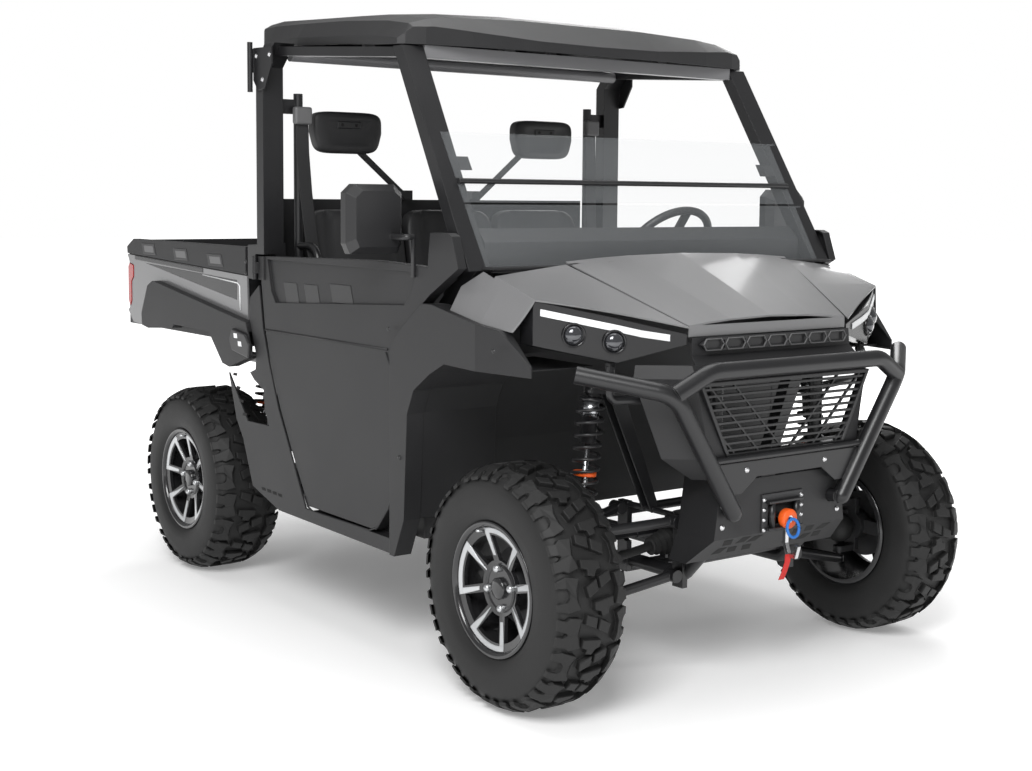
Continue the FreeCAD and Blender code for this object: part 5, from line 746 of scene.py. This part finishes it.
def make_side_trim():
    for name, sign in right_first:
        mesh = bmesh.new()
        side_plate(mesh, sign, bed_stripe, bed_side_x + 0.0014, 0.0012)
        side_plate(mesh, sign, bed_triangle, bed_side_x + 0.0006, 0.0004)
        piece("bed_stripe_" + name, mesh, gloss_black, "cargo_bed")
        mesh = bmesh.new()
        for y, z in notch_places:
            side_plate(mesh, sign, slanted(y, z, 0.120, 0.044, 0.018), notch_x, notch_depth, 0.0012)
        piece("rail_notch_" + name, mesh, black_plastic, "cargo_bed")
        mesh = bmesh.new()
        for y, z in notch_places:
            side_plate(mesh, sign, slanted(y, z, 0.088, 0.026, 0.011), notch_x + 0.0007, notch_depth,
                       0.0010)
        piece("rail_insert_" + name, mesh, grey_plastic, "cargo_bed")
        mesh = bmesh.new()
        tube(mesh, [(sign * (bed_side_x + 0.0008), y, z) for y, z in bed_edge_line], 0.0022, 8)
        piece("bed_edge_line_" + name, mesh, white_lens, "cargo_bed")
        mesh = bmesh.new()
        side_plate(mesh, sign, reflector_pod, 0.806, 0.012, 0.004)
        piece("reflector_pod_" + name, mesh, black_plastic, "cargo_bed")
        mesh = bmesh.new()
        for y, z in ((0.436, 0.922), (0.404, 0.896)):
            side_plate(mesh, sign, slanted(y, z, 0.024, 0.017, 0.004), 0.8080, 0.003, 0.001)
        piece("reflectors_" + name, mesh, white_lens, "cargo_bed")
        mesh = bmesh.new()
        tube(mesh, [(sign * door_x, y, z) for y, z in door_line], 0.0035, 8)
        tube(mesh, [(sign * door_x, y, z) for y, z in ((-0.530, 0.955), (0.262, 0.955))], 0.0040, 8)
        piece("door_line_" + name, mesh, black_moulding, "door_" + name)
        # Painted shade: thin dark plates on the side panel stand for the shade inside its slots.
        mesh = bmesh.new()
        for y, z in ((0.276, 0.402), (0.236, 0.401), (0.196, 0.400), (0.156, 0.399)):
            side_plate(mesh, sign, slanted(y, z, 0.026, 0.010, 0.004), side_panel_x + 0.0006, 0.0008)
        for y, z in ((0.492, 0.780), (0.468, 0.735), (0.444, 0.690), (0.420, 0.645)):
            side_plate(mesh, sign, slanted(y, z, 0.030, 0.010, -0.006), side_panel_x + 0.0006, 0.0008)
        piece("side_slot_shade_" + name, mesh, painted_hole_shade, "chassis")
        mesh = bmesh.new()
        for y in (-0.060, 0.080):
            side_plate(mesh, sign, slanted(y, 1.090, 0.090, 0.070, 0.020), door_pocket_x, 0.0010, 0.0008)
        side_plate(mesh, sign, slanted(-0.250, 1.105, 0.130, 0.060, 0.020), door_pocket_x, 0.0010, 0.0008)
        piece("door_pockets_" + name, mesh, black_plastic, "door_" + name)


# Bolts and nose trim

def bolt(mesh, place, aim, radius=0.006, height=0.004):
    """A hexagon head on a washer, facing along aim."""
    turn = Vector(aim).to_track_quat("X", "Z").to_matrix().to_4x4()
    before = len(mesh.verts)
    revolved(mesh, [(0, radius * 1.5), (0.001, radius * 1.5), (0.001, radius), (height, radius),
                    (height + 0.0006, radius * 0.8), (height + 0.0006, 0.0002)], 6)
    mesh.verts.ensure_lookup_table()
    bmesh.ops.transform(mesh, matrix=Matrix.Translation(place) @ turn, verts=mesh.verts[before:])


def hexagon(mesh, centre, half_width, half_height, wall):
    """A thin six-cornered frame standing in the nose, its face towards the front."""
    corners = [(-1, 0), (-0.72, -1), (0.72, -1), (1, 0), (0.72, 1), (-0.72, 1)]
    outer = [mesh.verts.new(centre + Vector((a * half_width, 0, b * half_height))) for a, b in corners]
    inner = [mesh.verts.new(centre + Vector((a * (half_width - wall), 0, b * (half_height - wall))))
             for a, b in corners]
    for k in range(6):
        n = (k + 1) % 6
        mesh.faces.new((outer[k], outer[n], inner[n], inner[k]))
    back = bmesh.ops.extrude_face_region(mesh, geom=mesh.faces[-6:])["geom"]
    bmesh.ops.translate(mesh, vec=(0, 0.004, 0),
                        verts=[v for v in back if isinstance(v, bmesh.types.BMVert)])


skid_front_y, skid_bend_z, skid_drop, skid_lean = -1.4225, 0.466, 0.076, 0.080
slot_half, slot_proud = 0.017, 0.0006


def skid_place(x, z):
    """A point just in front of the skid plate's leaning lower face."""
    return Vector((x, skid_front_y + (skid_bend_z - z) / skid_drop * skid_lean - slot_proud, z))


def make_nose_trim():
    mesh = bmesh.new()
    for cell in range(7):
        hexagon(mesh, Vector(((cell - 3) * 0.084, -1.3935, 1.0145)), 0.040, 0.017, 0.0026)
    bmesh.ops.recalc_face_normals(mesh, faces=mesh.faces)
    piece("upper_grille_border", mesh, grey_plastic, "chassis")
    # Painted shade: thin dark plates on the skid plate's leaning face stand for the shade inside its slots.
    mesh = bmesh.new()
    for sign in (-1, 1):
        for x, z, lean in ((0.190, 0.449, 0.012), (0.140, 0.450, -0.010), (0.094, 0.447, -0.014),
                           (0.205, 0.420, -0.010), (0.142, 0.418, 0.012), (0.082, 0.417, 0.014)):
            low, high = z - 0.010, z + 0.010
            corners = [skid_place(sign * across, up)
                       for across, up in ((x - slot_half, low), (x + slot_half, low),
                                          (x + slot_half + lean, high), (x - slot_half + lean, high))]
            front = [mesh.verts.new(c) for c in corners]
            rear = [mesh.verts.new(c + Vector((0, 0.004, 0))) for c in corners]
            mesh.faces.new(front)
            for a, b, c, d in zip(front, front[1:] + front[:1], rear[1:] + rear[:1], rear):
                mesh.faces.new((a, b, c, d))
    bmesh.ops.recalc_face_normals(mesh, faces=mesh.faces)
    piece("skid_slot_shade", mesh, painted_hole_shade, "chassis")
    mesh = bmesh.new()
    for x in (-0.050, 0.050):
        tube(mesh, [(x, -1.4340, 0.480), (x, -1.4340, 0.550)], 0.0095, 20)
    for z in (0.476, 0.554):
        block(mesh, (-0.070, -1.4440, z - 0.004), (0.070, -1.4280, z + 0.004), 0.002)
    piece("fairlead_rollers", mesh, satin_tube, "chassis")
    mesh = bmesh.new()
    for x in (-0.076, 0.076):
        for z in (0.474, 0.503, 0.532, 0.561):
            bolt(mesh, (x, -1.4277, z), straight_ahead, 0.0045)
    for x in (-0.236, 0.236):
        for z in (0.500, 0.560):
            bolt(mesh, (x, -1.4228, z), straight_ahead, 0.006)
    piece("nose_bolts", mesh, bright_steel, "chassis")
    mesh = bmesh.new()
    revolved(mesh, [(0, 0.010), (0, 0.0265), (0.003, 0.0285), (0.0215, 0.0285), (0.0245, 0.0265),
                    (0.0245, 0.010)], 32)
    place = Matrix.Translation((0, -1.4353, 0.503)) @ Matrix.Rotation(-math.pi / 2, 4, "Z")
    bmesh.ops.transform(mesh, matrix=place, verts=mesh.verts)
    piece("winch_stopper", mesh, orange_rubber, "chassis")
    mesh = bmesh.new()
    loop = [(0.024 * math.cos(2 * math.pi * k / 20), -1.470 + 0.004 * math.sin(2 * math.pi * k / 20),
             0.478 + 0.026 * math.sin(2 * math.pi * k / 20)) for k in range(21)]
    tube(mesh, loop, 0.0045, 10)
    piece("rope_loop", mesh, blue_rope, "chassis")
    mesh = bmesh.new()
    strap(mesh, [(-0.010, -1.462, 0.402), (-0.014, -1.464, 0.380), (-0.024, -1.462, 0.352),
                 (-0.032, -1.458, 0.330)], 0.022)
    pull = piece("hook_strap", mesh, red_webbing, "chassis")


def nose_face(x, z):
    """The place and outward direction of the nose's face at a height."""
    hit = bpy.context.scene.ray_cast(bpy.context.view_layer.depsgraph, Vector((x, -1.60, z)),
                                     Vector((0, 1, 0)), distance=0.30)
    return (hit[1], hit[2]) if hit[0] else (None, None)


def make_strip_slots():
    """Eight dark plates of painted shade, standing for slots, which lie under the strip's surface and don't
    show, and two bolts that do.
    """
    mesh = bmesh.new()
    for x in (-0.230, -0.134, -0.091, -0.049, 0.017, 0.059, 0.100, 0.186):
        place, normal = nose_face(x, 0.661)
        if place is None:
            continue
        outline = [(-0.010, -0.009), (-0.004, -0.011), (0.010, 0.007), (0.006, 0.011), (0.0, 0.010)]
        across = Vector((1, 0, 0))
        up = normal.cross(across) * -1
        prism(mesh, outline, 0.0012, (place - normal * 0.0004, across, up))
    bmesh.ops.recalc_face_normals(mesh, faces=mesh.faces)
    piece("strip_slot_shade", mesh, painted_hole_shade, "chassis")
    mesh = bmesh.new()
    for x in (-0.172, 0.146):
        place, normal = nose_face(x, 0.662)
        if place is not None:
            bolt(mesh, place, normal, 0.006)
    piece("strip_bolts", mesh, bright_steel, "chassis")


def make_bolts():
    steel, black = bmesh.new(), bmesh.new()
    for sign in (-1, 1):
        for z in (1.145, 1.185):
            bolt(black, (sign * 0.8105, 0.345, z), (sign, 0, 0), 0.005)
        for y, z in ((0.205, 1.880), (0.255, 1.800), (0.300, 1.880)):
            bolt(steel, (sign * 0.7893, y, z), (sign, 0, 0), 0.006)
        for y, z in ((-0.560, 1.020), (-0.620, 0.640), (-1.100, 1.000)):
            bolt(black, (sign * 0.7955, y, z), (sign, 0, 0), 0.005)
    piece("hinge_bolts", steel, bright_steel, "chassis")
    piece("panel_bolts", black, black_plastic, "chassis")


# Stage, camera and light

def make_camera():
    data = bpy.data.cameras.new("photo_camera")
    camera = bpy.data.objects.new("photo_camera", data)
    bpy.context.scene.collection.objects.link(camera)
    data.sensor_width = 36.0
    data.lens = focal_pixels / photo_width * data.sensor_width
    data.shift_x = (photo_width / 2 - principal_point[0]) / photo_width
    data.shift_y = (principal_point[1] - photo_height / 2) / photo_width
    look = (camera_target - camera_place).to_track_quat("-Z", "Y").to_matrix().to_4x4()
    camera.matrix_world = (Matrix.Translation(camera_place) @ look
                           @ Matrix.Rotation(math.radians(camera_roll), 4, "Z"))
    bpy.context.scene.camera = camera


def make_floor():
    mesh = bmesh.new()
    bmesh.ops.create_grid(mesh, x_segments=1, y_segments=1, size=40)
    data = bpy.data.meshes.new("floor")
    mesh.to_mesh(data)
    mesh.free()
    floor = bpy.data.objects.new("floor", data)
    bpy.context.scene.collection.objects.link(floor)
    floor.location = (0, 0, -0.0005)
    made = Finish("pale_glowing_floor", (0.90, 0.90, 0.90), 0.9, Specular_IOR_Level=0.0)
    # Painted light: the floor glows, weakly near the vehicle's middle and fully white from about 4.7 m out,
    # which whitens the far floor and lifts the shadows near the vehicle.
    x, y, _ = made.parts()
    glow_share = made.node("ShaderNodeMath", {"operation": "MULTIPLY", "use_clamp": True},
                    {0: x * x + y * y, 1: 0.045})
    made.set("Emission Color", made.mix(glow_share, (0.16, 0.16, 0.16), (1.0, 1.0, 1.0)))
    made.set("Emission Strength", 1.0)
    data.materials.append(made.material)


def make_light():
    world = bpy.data.worlds.new("studio")
    bpy.context.scene.world = world
    world.use_nodes = True
    tree = world.node_tree
    background = tree.nodes["Background"]
    path = tree.nodes.new("ShaderNodeLightPath")
    lift = tree.nodes.new("ShaderNodeMath")
    lift.operation = "MAXIMUM"
    tree.links.new(path.outputs["Is Camera Ray"], lift.inputs[0])
    tree.links.new(path.outputs["Is Transmission Ray"], lift.inputs[1])
    strength = tree.nodes.new("ShaderNodeMapRange")
    strength.inputs["To Min"].default_value = 0.34
    strength.inputs["To Max"].default_value = 1.0
    tree.links.new(lift.outputs[0], strength.inputs["Value"])
    tree.links.new(strength.outputs[0], background.inputs["Strength"])
    background.inputs["Color"].default_value = (1, 1, 1, 1)
    for name, place, target, size, power in (("key", (-4.5, -4.5, 5.0), (0, 0, 0.8), 3.0, 420),
                                             ("top", (0.5, 0.5, 6.5), (0, 0, 1.0), 5.0, 200),
                                             ("rim", (4.5, 3.5, 3.5), (0, 0, 0.8), 3.0, 120)):
        data = bpy.data.lights.new(name, "AREA")
        data.size = size
        data.energy = power
        light = bpy.data.objects.new(name, data)
        bpy.context.scene.collection.objects.link(light)
        light.location = place
        light.rotation_euler = (Vector(target) - Vector(place)).to_track_quat("-Z", "Y").to_euler()


make_camera()
make_floor()
make_light()
dress_nodes()
make_tyres()
make_dampers()
make_rims()
make_seats()
make_belts()
make_lamps()
make_side_trim()
make_strip_slots()
make_nose_trim()
make_bolts()
bpy.context.scene.view_settings.view_transform = "Standard"
